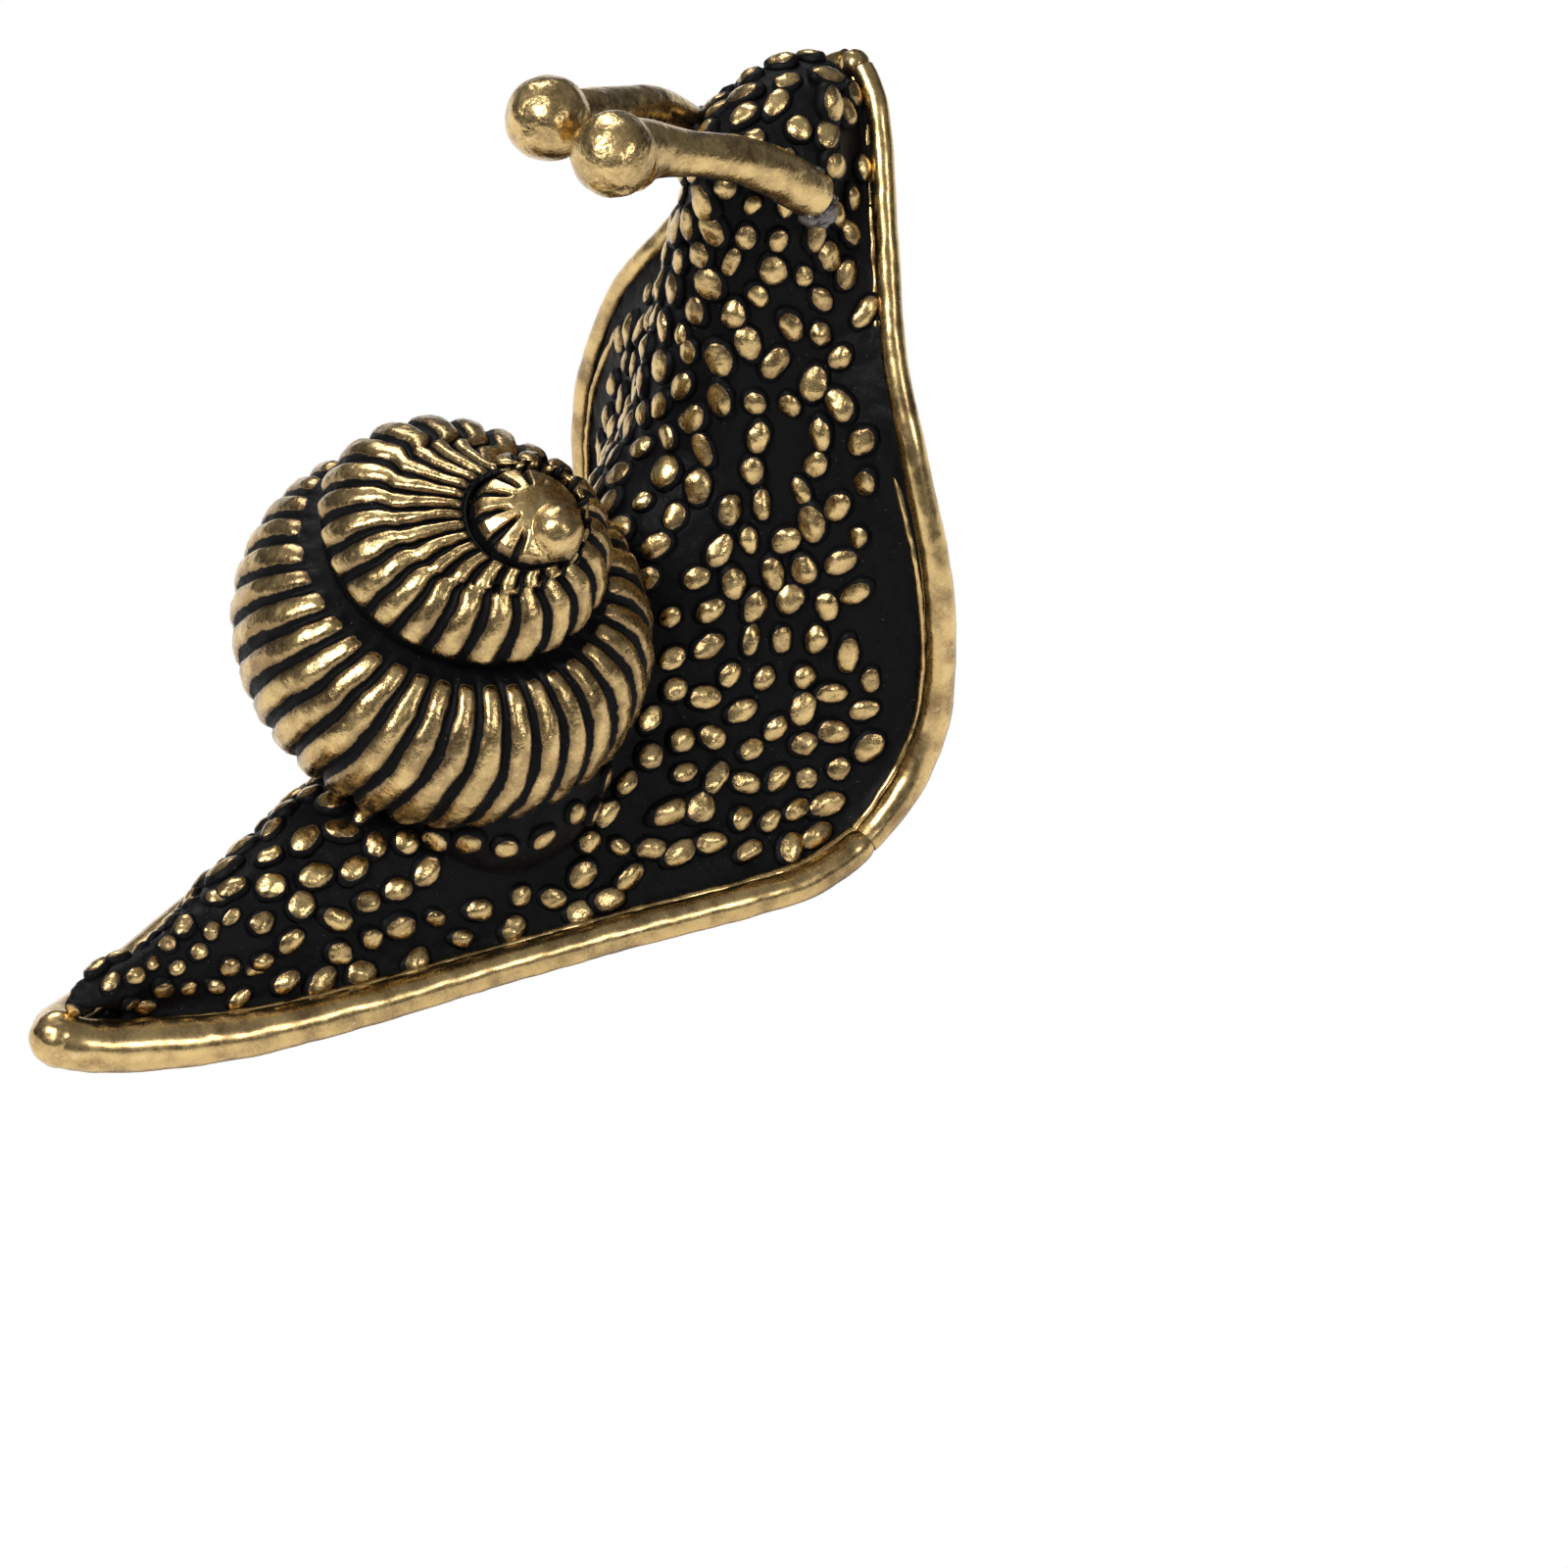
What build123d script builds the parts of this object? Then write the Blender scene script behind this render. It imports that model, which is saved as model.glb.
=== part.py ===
from build123d import *
import os
from math import cos, radians, sin

# Cast brass snail ornament, millimetres. X points from the tail to the head end, Y to the snail's
# left, Z up. The origin is the middle of the flat face of the sole that it rests on.

# Foot: a leaf that lies on the ground, bends up at the crook and stands as the neck
tail_reach = 31.5          # crook line to the rim's centre at the tip of the tail
sole_middle = 16.0         # crook line to the middle of the flat face
crook_radius = 5.5         # bend of the rim's centre line
neck_reach = 25.0          # ground to the rim's centre at the top of the head
head_lean = 4.4            # how far the top of the head leans forward of the neck's foot
tail_lift = 0.85           # how far the tip of the tail rises off the ground
foot_half_width = 8.85     # middle line to the rim's centre at the widest place
body_depth = 9.4           # rim's centre line to the back, at the crook
fan_reach = 16.2           # crook line back to the line that the cross-sections fan out from
fan_height = 20.9          # ground to that line

# Rim: a round bead along the edge of the foot, in two lengths
rim_radius = 0.6
rim_press = 0.04           # how far the bead is rubbed flat where it meets the ground
seam_gap = 0.05            # solder line between rim and body
tail_tip_radius = 1.0
head_tip_radius = 0.5

# Shell
shell_radius = 7.25        # axis of the coil to the outside of its largest whorl
shell_rise = 7.30          # centre of the first whorl to that of the last, along the axis
shell_forward = -13.93     # crook line to the shell's centre
shell_left = 0.62
shell_up = 10.06
shell_side_lean = 28.8     # degrees that the axis of the coil leans to the snail's right
shell_back_lean = 3.9      # degrees that it leans towards the tail
shell_bearing = 21.7       # degrees from straight ahead to the mouth of the shell
seat_height = 5.1          # ground to the flat face that the shell sits on
shell_clearance = 0.3      # mantle round the shell
plinth_radius = 2.7        # boss under the shell
plinth_foot_radius = 3.2
plinth_left = -2.2
plinth_height = 3.6

# Tentacles and eyes, given on the snail's left from the rim's centre at the top of the head
tentacle_radius = 0.8
tentacle_bend_radius = 4.0
eye_radius = 1.46
eye_back = 12.45
eye_left = 1.6
eye_over = 1.8
elbow_back = 7.2
elbow_left = 2.4
elbow_under = 0.1
root_back = 4.65
root_left = 2.9
root_under = 2.3
spigot_depth = 0.7         # how deep a tentacle's end sits in its eye
solder_gap = 0.03          # round a tentacle in its eye and in the head

# Grains: raised drops on the skin, in rows across the body that stand half a pitch aside in turn
grain_radius = 0.62        # at the foot
grain_sink = 0.25          # how deep the foot lies under the skin
grain_height = 0.33
grain_pitch = 2.3          # from grain to grain in a row
grain_row_pitch = 2.1      # from row to row
grain_row_start = 4.5      # tip of the body to the first row

# The rim and the body's cross-sections, from the tip of the tail to the crook. The shares are of
# tail_reach, tail_lift, foot_half_width and rim_radius (the bead), then how high the sole lies over
# the bead's middle (of rim_radius), the body's depth (of body_depth) and its fullness: how wide it
# still is at half its height, of its own half-width.
tail_shares = [
    (0.985, 0.95, 0.060, 1.55, None, None, None),
    (0.958, 0.62, 0.104, 1.52, None, None, None),
    (0.914, 0.30, 0.170, 1.48, 0.60, 0.33, 1.60),
    (0.857, 0.08, 0.258, 1.40, -0.80, 0.41, 0.95),
    (0.800, 0.00, 0.341, 1.30, -1.60, 0.475, 0.88),
    (0.686, 0.00, 0.467, 1.17, -1.45, 0.545, 0.84),
    (0.568, 0.00, 0.572, 1.10, -1.40, 0.58, 0.82),
    (0.451, 0.00, 0.686, 1.06, -1.35, 0.60, 0.78),
    (0.337, 0.00, 0.808, 1.04, -1.30, 0.70, 0.74),
    (0.254, 0.00, 0.905, 1.03, -1.30, 0.80, 0.70),
    (0.175, 0.00, 0.960, 1.02, -1.20, 0.90, 0.68),
]
# Round the crook: the share of the quarter turn, then as above from foot_half_width on
crook_shares = [
    (0.28, 0.965, 1.00, -0.70, 0.97, 0.66),
    (0.56, 0.975, 1.00, -0.55, 1.00, 0.64),
    (0.80, 0.985, 0.98, -0.55, 0.98, 0.60),
    (1.00, 0.995, 0.95, -0.55, 0.88, 0.57),
]
# Up the neck: shares of neck_reach and head_lean, then as above
neck_shares = [
    (0.340, 0.000, 1.000, 0.92, -0.50, 0.71, 0.52),
    (0.440, 0.011, 0.957, 0.87, -0.50, 0.56, 0.47),
    (0.580, 0.057, 0.811, 0.80, -0.45, 0.48, 0.47),
    (0.680, 0.205, 0.635, 0.76, -0.40, 0.48, 0.58),
    (0.764, 0.409, 0.492, 0.74, -0.40, 0.52, 0.78),
    (0.844, 0.614, 0.358, 0.73, -0.40, 0.58, 1.10),
    (0.912, 0.795, 0.244, 0.70, -0.40, 0.64, 1.70),
    (0.964, 0.920, 0.140, 0.70, 0.30, 0.64, 3.20),
]
# Where the body stands over the rim's ends: shares of the reach and of the lift or lean, then the
# half-width of the sole of foot_half_width, the sole as above, how far the back rises over the edge
# (of body_depth) and fullness as above
tip_shares = [
    (1.010, 1.10, 0.030, 1.80, 0.026, 1.40),
    (0.982, 0.95, 0.065, 1.90, 0.085, 1.30),
    (0.950, 0.60, 0.070, 1.55, 0.157, 1.40),
]
crown_shares = [
    (1.000, 0.800, 0.068, 0.30, 0.442, 2.60),
    (1.020, 0.640, 0.036, 0.00, 0.281, 3.20),
]
tip_lift_share = 1.05
tip_bead_share = 1.55
head_bead_share = 0.70
inset_share = 1.18         # edge of the body to the middle of the bead, of the bead's radius
edge_share = 0.75          # how high the body's edge stands over that middle, of the same
rim_end_share = 0.30       # height of the edge over the sole where there is no rim, of rim_radius
low_share = 0.22           # heights of the back's flank, of its rise over the edge
high_share = 0.86
brow_share = 0.55          # half-width up there, of that at half height
bare_share = 0.22          # strip beside the rim that has no grains, of the flank's length
stray_share = 0.22         # how far a grain may stand aside of its place, of the pitch
top_share = 0.55           # radius of a grain's flat top, of its foot
slender_share = 0.5        # greatest radius of a grain on the thin ends, of the body's half-width

# Whorls from the mouth to the top, in sixths of a turn: the outside and the tube as shares of
# shell_radius, the rise of shell_rise and two sideways shifts of shell_radius
whorl_shares = [
    (0.950, 0.460, -0.015, 0.010, 0.000),
    (0.965, 0.470, -0.005, 0.000, -0.010),
    (0.995, 0.485, 0.004, -0.015, -0.020),
    (1.005, 0.485, 0.008, -0.015, -0.030),
    (0.995, 0.475, 0.020, -0.010, -0.020),
    (0.980, 0.460, 0.070, 0.005, 0.005),
    (0.880, 0.420, 0.210, 0.005, 0.050),
    (0.775, 0.370, 0.370, 0.000, 0.080),
    (0.675, 0.325, 0.450, 0.010, 0.080),
    (0.655, 0.320, 0.500, 0.040, 0.076),
    (0.655, 0.315, 0.550, 0.075, 0.078),
    (0.600, 0.290, 0.620, 0.110, 0.086),
    (0.430, 0.208, 0.740, 0.142, 0.072),
    (0.335, 0.162, 0.860, 0.160, 0.030),
    (0.300, 0.145, 0.930, 0.172, -0.015),
    (0.280, 0.135, 0.970, 0.180, -0.040),
    (0.250, 0.120, 0.995, 0.184, -0.055),
    (0.210, 0.100, 1.000, 0.180, -0.075),
]
rows_per_turn = 6
# Core of the coil: a row of the table above, then how far over it and how wide, of its tube
core_shares = [
    (0, -0.60, 0.60),
    (2, 0.00, 0.60),
    (5, 0.00, 0.60),
    (8, 0.00, 0.60),
    (11, 0.00, 0.60),
    (14, 0.00, 1.00),
]
apex_share = 0.155         # ball that ends the coil, of shell_radius
# Ribs: the first and last row that they cover, how many there are in a full turn, and the degrees
# round the tube, from its outside up, between which the grooves show
rib_spans = [
    (0.3, 6.0, 36, -62, 80),
    (6.0, 11.4, 36, -8, 88),
    (11.4, 14.6, 20, -5, 90),
]
groove_share = 0.040       # radius of a groove's section, of shell_radius
thin_groove_share = 0.19   # its greatest radius where the tube is thin, of the tube's
rib_lean = 13              # degrees that a rib leans back from the tube's own cross-section


def back_direction(place):
    """Unit step from the foot's centre line towards the snail's back."""
    if place.Z >= fan_height:
        return Vector(-1, 0, 0)
    return Vector(sole_middle - fan_reach - place.X, 0, fan_height - place.Z).normalized()


def flank_line(half_width, edge, depth, full):
    """One side of a cross-section from the edge up to the back, as sideways and height."""
    rise = depth - edge
    waist = full * half_width
    return [
        Vector(half_width, edge),
        Vector((half_width + waist) / 2, edge + low_share * rise),
        Vector(waist, edge + rise / 2),
        Vector(brow_share * waist, edge + high_share * rise),
        Vector(0, depth),
    ]


def step_along(line, travel):
    """The number of the point before the place that is travel along a line, and the share beyond."""
    for number, (here, there) in enumerate(zip(line, line[1:])):
        step = (there - here).length
        if travel < step:
            return number, travel / step
        travel -= step
    return len(line) - 2, 1.0


def line_length(line):
    return sum((there - here).length for here, there in zip(line, line[1:]))


shell_centre = Vector(sole_middle + shell_forward, shell_left, shell_up)
shell_frame = Plane(shell_centre).rotated((shell_side_lean, -shell_back_lean, 0))


def whorl_frame(row):
    """Plane across the tube at a row of the whorls' table or between two, and the tube's radius."""
    before = int(row)
    after = min(before + 1, len(whorl_shares) - 1)
    pairs = zip(whorl_shares[before], whorl_shares[after])
    outside, tube, rise, ahead, aside = (here + (there - here) * (row - before) for here, there in pairs)
    bearing = radians(shell_bearing + 360 * row / rows_per_turn)
    radial = shell_frame.x_dir * cos(bearing) + shell_frame.y_dir * sin(bearing)
    sideways = radial * (outside - tube) + shell_frame.x_dir * ahead + shell_frame.y_dir * aside
    spot = shell_centre + sideways * shell_radius + shell_frame.z_dir * (rise * shell_rise)
    return Plane(spot, x_dir=radial, z_dir=shell_frame.z_dir.cross(radial)), tube * shell_radius


# The rim's centre line on the snail's left as (point, bead), and the body's cross-sections as
# (middle, half-width, sole, edge, depth, fullness), both from the tail to the head
tip_bead = tip_bead_share * rim_radius
tail_tip = Vector(sole_middle - tail_reach, 0, tip_bead + tip_lift_share * tail_lift)
head_tip = Vector(sole_middle + head_lean, 0, neck_reach)
rim_line = [(tail_tip, tip_bead)]
sections = []
for along, lift, wide, sole, rise, full in tip_shares:
    place = Vector(sole_middle - along * tail_reach, 0, tip_bead + lift * tail_lift)
    edge = (sole + rim_end_share) * rim_radius
    depth = edge + rise * body_depth
    sections.append((place, wide * foot_half_width, sole * rim_radius, edge, depth, full))

foot = []
for along, lift, *rest in tail_shares:
    up = rest[1] * rim_radius - rim_press + lift * tail_lift
    foot.append((Vector(sole_middle - along * tail_reach, 0, up), *rest))
tail_rows = len(foot)
for turn, *rest in crook_shares:
    angle = radians(90 * turn)
    up = rim_radius - rim_press + crook_radius * (1 - cos(angle))
    foot.append((Vector(sole_middle - crook_radius * (1 - sin(angle)), 0, up), *rest))
for up, lean, *rest in neck_shares:
    foot.append((Vector(sole_middle + lean * head_lean, 0, up * neck_reach), *rest))
for place, wide, bead, sole, depth, full in foot:
    half_width = wide * foot_half_width
    radius = bead * rim_radius
    rim_line.append((place + Vector(0, half_width, 0), radius))
    if depth:
        inside = half_width - inset_share * radius - seam_gap
        edge = edge_share * radius
        sections.append((place, inside, sole * rim_radius, edge, depth * body_depth, full))
rim_line.append((head_tip, head_bead_share * rim_radius))

for up, lean, wide, sole, rise, full in crown_shares:
    place = Vector(sole_middle + lean * head_lean, 0, up * neck_reach)
    edge = (sole + rim_end_share) * rim_radius
    depth = edge + rise * body_depth
    sections.append((place, wide * foot_half_width, sole * rim_radius, edge, depth, full))

# Room for what sits in the body
with BuildPart() as shell_space:
    with Locations(shell_centre):
        Sphere(shell_radius + shell_clearance)
    split(bisect_by=Plane.XY.offset(seat_height), keep=Keep.TOP)

eye_point = head_tip + Vector(-eye_back, eye_left, eye_over)
elbow_point = head_tip + Vector(-elbow_back, elbow_left, -elbow_under)
root_point = head_tip + Vector(-root_back, root_left, -root_under)
eye_way = (elbow_point - eye_point).normalized()
root_way = (root_point - elbow_point).normalized()
rod_start = eye_point + eye_way * (eye_radius - spigot_depth)
with BuildPart() as tentacle_space:
    with BuildLine() as space_line:
        FilletPolyline(
            rod_start - eye_way * solder_gap,
            elbow_point,
            root_point + root_way * solder_gap,
            radius=tentacle_bend_radius,
        )
    with BuildSketch(Plane(space_line.line @ 0, z_dir=space_line.line % 0)):
        Circle(tentacle_radius + solder_gap)
    sweep(path=space_line.line)
    mirror(about=Plane.XZ)

# Grains: for each a ray from low in the body's middle out through the skin, and its radius
leftward = Vector(0, 1, 0)
spine = [
    place + back_direction(place) * (depth / 2)
    for place, half_width, sole, edge, depth, full in sections
]
grain_rays = []
for row in range(int((line_length(spine) - grain_row_start) / grain_row_pitch)):
    number, share = step_along(spine, grain_row_start + row * grain_row_pitch)
    place, half_width, sole, edge, depth, full = (
        here + (there - here) * share for here, there in zip(sections[number], sections[number + 1])
    )
    upward = back_direction(place)
    flank = flank_line(half_width, edge, depth, full)
    aside = row % 2 * grain_pitch / 2
    while aside < (1 - bare_share) * line_length(flank):
        for side in (-1, 1) if aside else (1,):
            stray = stray_share * grain_pitch * sin(len(grain_rays) ** 2)
            number, share = step_along(flank, line_length(flank) - abs(aside + stray))
            spot = flank[number] + (flank[number + 1] - flank[number]) * share
            direction = leftward * (side * spot.X) + upward * (spot.Y - edge)
            radius = min(grain_radius, slender_share * half_width)
            grain_rays.append((Axis(place + upward * edge, direction), radius))
        aside += grain_pitch

# Body: the cross-sections of the foot, neck and head, lofted, with the boss that carries the shell
# and the grains
with BuildPart() as snail_body:
    for place, half_width, sole, edge, depth, full in sections:
        flank = flank_line(half_width, edge, depth, full)
        with BuildSketch(Plane(place, x_dir=leftward, z_dir=leftward.cross(back_direction(place)))):
            with BuildLine():
                Spline(*flank, *[Vector(-spot.X, spot.Y) for spot in reversed(flank[:-1])])
                Polyline((-half_width, edge), (-half_width, sole), (half_width, sole), (half_width, edge))
            make_face()
    loft()
    with Locations((shell_centre.X, plinth_left, seat_height - plinth_height)):
        Cone(
            plinth_foot_radius,
            plinth_radius,
            plinth_height,
            align=(Align.CENTER, Align.CENTER, Align.MIN),
        )
    add(shell_space.part, mode=Mode.SUBTRACT)
    add(tentacle_space.part, mode=Mode.SUBTRACT)
    grains = []
    for ray, radius in grain_rays:
        skin, outward = snail_body.part.find_intersection_points(ray)[-1]
        from_shell = (skin - shell_centre).length - shell_radius - shell_clearance
        roots = (Vector(root_point.X, side * root_left, root_point.Z) for side in (-1, 1))
        from_root = min((skin - root).length for root in roots) - tentacle_radius
        if from_shell > grain_radius and from_root > 2 * grain_radius:
            drop = Cone(
                radius,
                top_share * radius,
                grain_sink + grain_height,
                align=(Align.CENTER, Align.CENTER, Align.MIN),
                mode=Mode.PRIVATE,
            )
            seat = Plane(skin - outward * grain_sink, x_dir=outward.cross(leftward), z_dir=outward)
            grains.append(seat * drop)
    grown = snail_body.part.fuse(*grains)
    # Other sizes may bring a grain that can't be joined, and the body then stays plain
    if len(grown.shells()) == 1 and grown.is_valid:
        add(grown, mode=Mode.REPLACE)
    split(bisect_by=Plane.XY, keep=Keep.TOP)

# Rim: half of each length is lofted through circles, and its other half is the mirror image. The
# two lengths meet face to face at the crook.
with BuildPart() as tail_rim:
    for row in range(tail_rows + 1):
        point, bead = rim_line[row]
        ahead = rim_line[row + 1][0] - rim_line[max(row - 1, 0)][0]
        with BuildSketch(Plane(point, x_dir=back_direction(point), z_dir=ahead)):
            Circle(bead)
    loft()
    with Locations(tail_tip):
        Sphere(tail_tip_radius)
    split(bisect_by=Plane.XZ, keep=Keep.BOTTOM)
    mirror(about=Plane.XZ)
    split(bisect_by=Plane.XY, keep=Keep.TOP)

with BuildPart() as neck_rim:
    for row in range(tail_rows, len(rim_line)):
        point, bead = rim_line[row]
        ahead = rim_line[min(row + 1, len(rim_line) - 1)][0] - rim_line[row - 1][0]
        with BuildSketch(Plane(point, x_dir=back_direction(point), z_dir=ahead)):
            Circle(bead)
    loft()
    with Locations(head_tip):
        Sphere(head_tip_radius)
    split(bisect_by=Plane.XZ, keep=Keep.BOTTOM)
    mirror(about=Plane.XZ)
    split(bisect_by=Plane.XY, keep=Keep.TOP)

# Shell: half turns of a shrinking tube round a core, with grooves between its ribs, cut flat where
# it sits
with BuildPart() as shell:
    for row, drop, width in core_shares:
        outside, tube, rise, ahead, aside = whorl_shares[row]
        with BuildSketch(shell_frame.offset(rise * shell_rise + drop * tube * shell_radius)):
            with Locations((ahead * shell_radius, aside * shell_radius)):
                Circle(width * tube * shell_radius)
    loft()
    last_row = len(whorl_shares) - 1
    for first in range(0, last_row, rows_per_turn // 2):
        for row in range(first, min(first + rows_per_turn // 2, last_row) + 1):
            frame, tube = whorl_frame(row)
            with BuildSketch(frame):
                Circle(tube)
        loft()
    with Locations(whorl_frame(last_row)[0].origin):
        Sphere(apex_share * shell_radius)
    grooves = []
    for first, last, ribs, low, high in rib_spans:
        for rib in range(int((last - first) / rows_per_turn * ribs)):
            frame, tube = whorl_frame(first + rib * rows_per_turn / ribs)
            across = frame.z_dir.rotate(Axis(frame.origin, frame.x_dir), rib_lean)
            start = frame.x_dir.rotate(Axis(frame.origin, across), low)
            section = min(groove_share * shell_radius, thin_groove_share * tube)
            ring = Torus(tube, section, major_angle=high - low, align=None, mode=Mode.PRIVATE)
            grooves.append(Plane(frame.origin, x_dir=start, z_dir=across) * ring)
    add(grooves, mode=Mode.SUBTRACT)
    split(bisect_by=Plane.XY.offset(seat_height), keep=Keep.TOP)

os.makedirs("parts", exist_ok=True)
for name, piece in (
    ("snail_body", snail_body),
    ("tail_rim", tail_rim),
    ("neck_rim", neck_rim),
    ("shell", shell),
):
    piece.part.label = name
    export_step(piece.part, f"parts/{name}.step")

# Tentacles and their eyes, a pair of each
for side, name in ((-1, "right"), (1, "left")):
    with BuildPart() as tentacle:
        with BuildLine() as rod_line:
            FilletPolyline(
                (rod_start.X, side * rod_start.Y, rod_start.Z),
                (elbow_point.X, side * elbow_point.Y, elbow_point.Z),
                (root_point.X, side * root_point.Y, root_point.Z),
                radius=tentacle_bend_radius,
            )
        with BuildSketch(Plane(rod_line.line @ 0, z_dir=rod_line.line % 0)):
            Circle(tentacle_radius)
        sweep(path=rod_line.line)
    with BuildPart() as eye:
        with Locations((eye_point.X, side * eye_point.Y, eye_point.Z)):
            Sphere(eye_radius)
        add(tentacle_space.part, mode=Mode.SUBTRACT)
    tentacle.part.label = f"{name}_tentacle"
    export_step(tentacle.part, f"parts/{name}_tentacle.step")
    eye.part.label = f"{name}_eye"
    export_step(eye.part, f"parts/{name}_eye.step")
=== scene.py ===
"""Cast brass snail: skin, grains, ribbed shell, rims, tentacles, eyes and the stage it is shown on."""
import math
from types import SimpleNamespace

import bmesh
import bpy
import numpy as np
from mathutils import Matrix, Vector, noise
from mathutils.kdtree import KDTree


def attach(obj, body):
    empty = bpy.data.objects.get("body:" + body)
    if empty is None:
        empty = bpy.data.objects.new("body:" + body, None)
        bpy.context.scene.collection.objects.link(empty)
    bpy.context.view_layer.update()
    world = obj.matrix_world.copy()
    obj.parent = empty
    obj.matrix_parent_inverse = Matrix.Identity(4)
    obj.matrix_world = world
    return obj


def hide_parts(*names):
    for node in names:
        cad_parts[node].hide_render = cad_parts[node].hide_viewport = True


bl_info = {
    "name": "Cast brass snail",
    "version": (1, 0, 0),
    "blender": (4, 5, 0),
    "location": "View3D > Sidebar > Snail",
    "description": "Dresses the frame of a small cast snail with its skin, grains, ribs and finishes",
    "category": "Object",
}

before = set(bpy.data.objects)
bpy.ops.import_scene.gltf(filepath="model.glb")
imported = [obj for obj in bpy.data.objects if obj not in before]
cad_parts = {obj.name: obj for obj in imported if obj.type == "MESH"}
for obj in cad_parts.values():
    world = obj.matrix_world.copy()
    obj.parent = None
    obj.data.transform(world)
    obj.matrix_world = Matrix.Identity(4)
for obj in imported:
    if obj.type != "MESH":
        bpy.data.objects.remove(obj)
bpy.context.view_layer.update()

MM = 0.001  # pieces are modelled in millimetres and turned into metres at the end

# The foot's outline, as the frame has it, in millimetres
TAIL_REACH = 31.5
SOLE_MIDDLE = 16.0
CROOK_RADIUS = 5.5
NECK_REACH = 25.0
HEAD_LEAN = 4.4
TAIL_LIFT = 0.85
FOOT_HALF_WIDTH = 8.85
FAN_REACH = 16.2
FAN_HEIGHT = 20.9
RIM_RADIUS = 0.6
RIM_PRESS = 0.04
TIP_BEAD_SHARE = 1.6
TIP_LIFT_SHARE = 1.05
HEAD_BEAD_SHARE = 0.70

INSET_SHARE = 1.18
SEAM_GAP = 0.05
EDGE_SHARE = 0.75
RIM_END_SHARE = 0.30
LOW_SHARE = 0.22
HIGH_SHARE = 0.86
BROW_SHARE = 0.55
BODY_DEPTH = 9.4

# The foot from the tip of the tail: reach, lift, half-width and bead as shares, the width in
# millimetres that stays bare of grains beside the bead, and the body's sole, depth and fullness
TAIL_ROWS = [
    (0.985, 0.95, 0.060, 1.50, 0.10, None, None, None),
    (0.958, 0.62, 0.104, 1.50, 0.10, None, None, None),
    (0.914, 0.30, 0.170, 1.48, 0.10, 0.60, 0.33, 1.60),
    (0.857, 0.08, 0.258, 1.40, 0.12, -0.80, 0.41, 0.95),
    (0.800, 0.00, 0.341, 1.30, 0.05, -1.60, 0.475, 0.88),
    (0.686, 0.00, 0.467, 1.17, 0.15, -1.45, 0.545, 0.84),
    (0.568, 0.00, 0.572, 1.10, 0.30, -1.40, 0.58, 0.82),
    (0.451, 0.00, 0.686, 1.06, 0.35, -1.35, 0.60, 0.78),
    (0.337, 0.00, 0.808, 1.04, 0.40, -1.30, 0.70, 0.74),
    (0.254, 0.00, 0.905, 1.03, 0.40, -1.30, 0.80, 0.70),
    (0.175, 0.00, 0.960, 1.02, 0.45, -1.20, 0.90, 0.68),
]
# Round the crook: share of the quarter turn, then as above from the half-width on
CROOK_ROWS = [
    (0.28, 0.965, 1.00, 0.5, -0.70, 0.97, 0.66),
    (0.56, 0.975, 1.00, 0.7, -0.55, 1.00, 0.64),
    (0.80, 0.985, 0.98, 1.1, -0.55, 0.98, 0.60),
    (1.00, 0.995, 0.95, 1.4, -0.55, 0.88, 0.57),
]
# Up the neck: reach and lean, then as above
NECK_ROWS = [
    (0.340, 0.000, 1.000, 0.92, 1.5, -0.50, 0.71, 0.52),
    (0.440, 0.011, 0.957, 0.87, 1.3, -0.50, 0.56, 0.47),
    (0.580, 0.057, 0.811, 0.80, 0.8, -0.45, 0.48, 0.47),
    (0.680, 0.205, 0.635, 0.76, 0.4, -0.40, 0.48, 0.58),
    (0.764, 0.409, 0.492, 0.74, 0.15, -0.40, 0.52, 0.78),
    (0.844, 0.614, 0.358, 0.73, 0.05, -0.40, 0.58, 1.10),
    (0.912, 0.795, 0.244, 0.70, 0.00, -0.40, 0.64, 1.70),
    (0.964, 0.920, 0.140, 0.70, 0.00, 0.30, 0.64, 3.20),
]
# The body over the rim's ends: reach, lift or lean, half-width, sole, rise of the back over the
# edge, and fullness
TIP_ROWS = [
    (1.010, 1.10, 0.030, 1.80, 0.026, 1.40),
    (0.982, 0.95, 0.065, 1.90, 0.085, 1.30),
    (0.950, 0.60, 0.070, 1.55, 0.157, 1.40),
]
CROWN_ROWS = [
    (1.000, 0.820, 0.068, 0.30, 0.395, 2.60),
    (1.018, 0.700, 0.036, 0.00, 0.220, 3.20),
]

# The shell's coil, as the frame has it
SHELL_RADIUS = 7.25
SHELL_RISE = 7.30
SHELL_CENTRE = Vector((SOLE_MIDDLE - 13.93, 0.62, 10.06))
SHELL_SIDE_LEAN = math.radians(28.8)
SHELL_BACK_LEAN = math.radians(3.9)
SHELL_BEARING = math.radians(21.7)
ROWS_PER_TURN = 6
SHELL_DENTS = 0.16
# Middle of the swelling of the back that carries the shell
MANTLE_CENTRE = Vector((SOLE_MIDDLE - 14.0, -1.9, 5.5))
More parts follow.
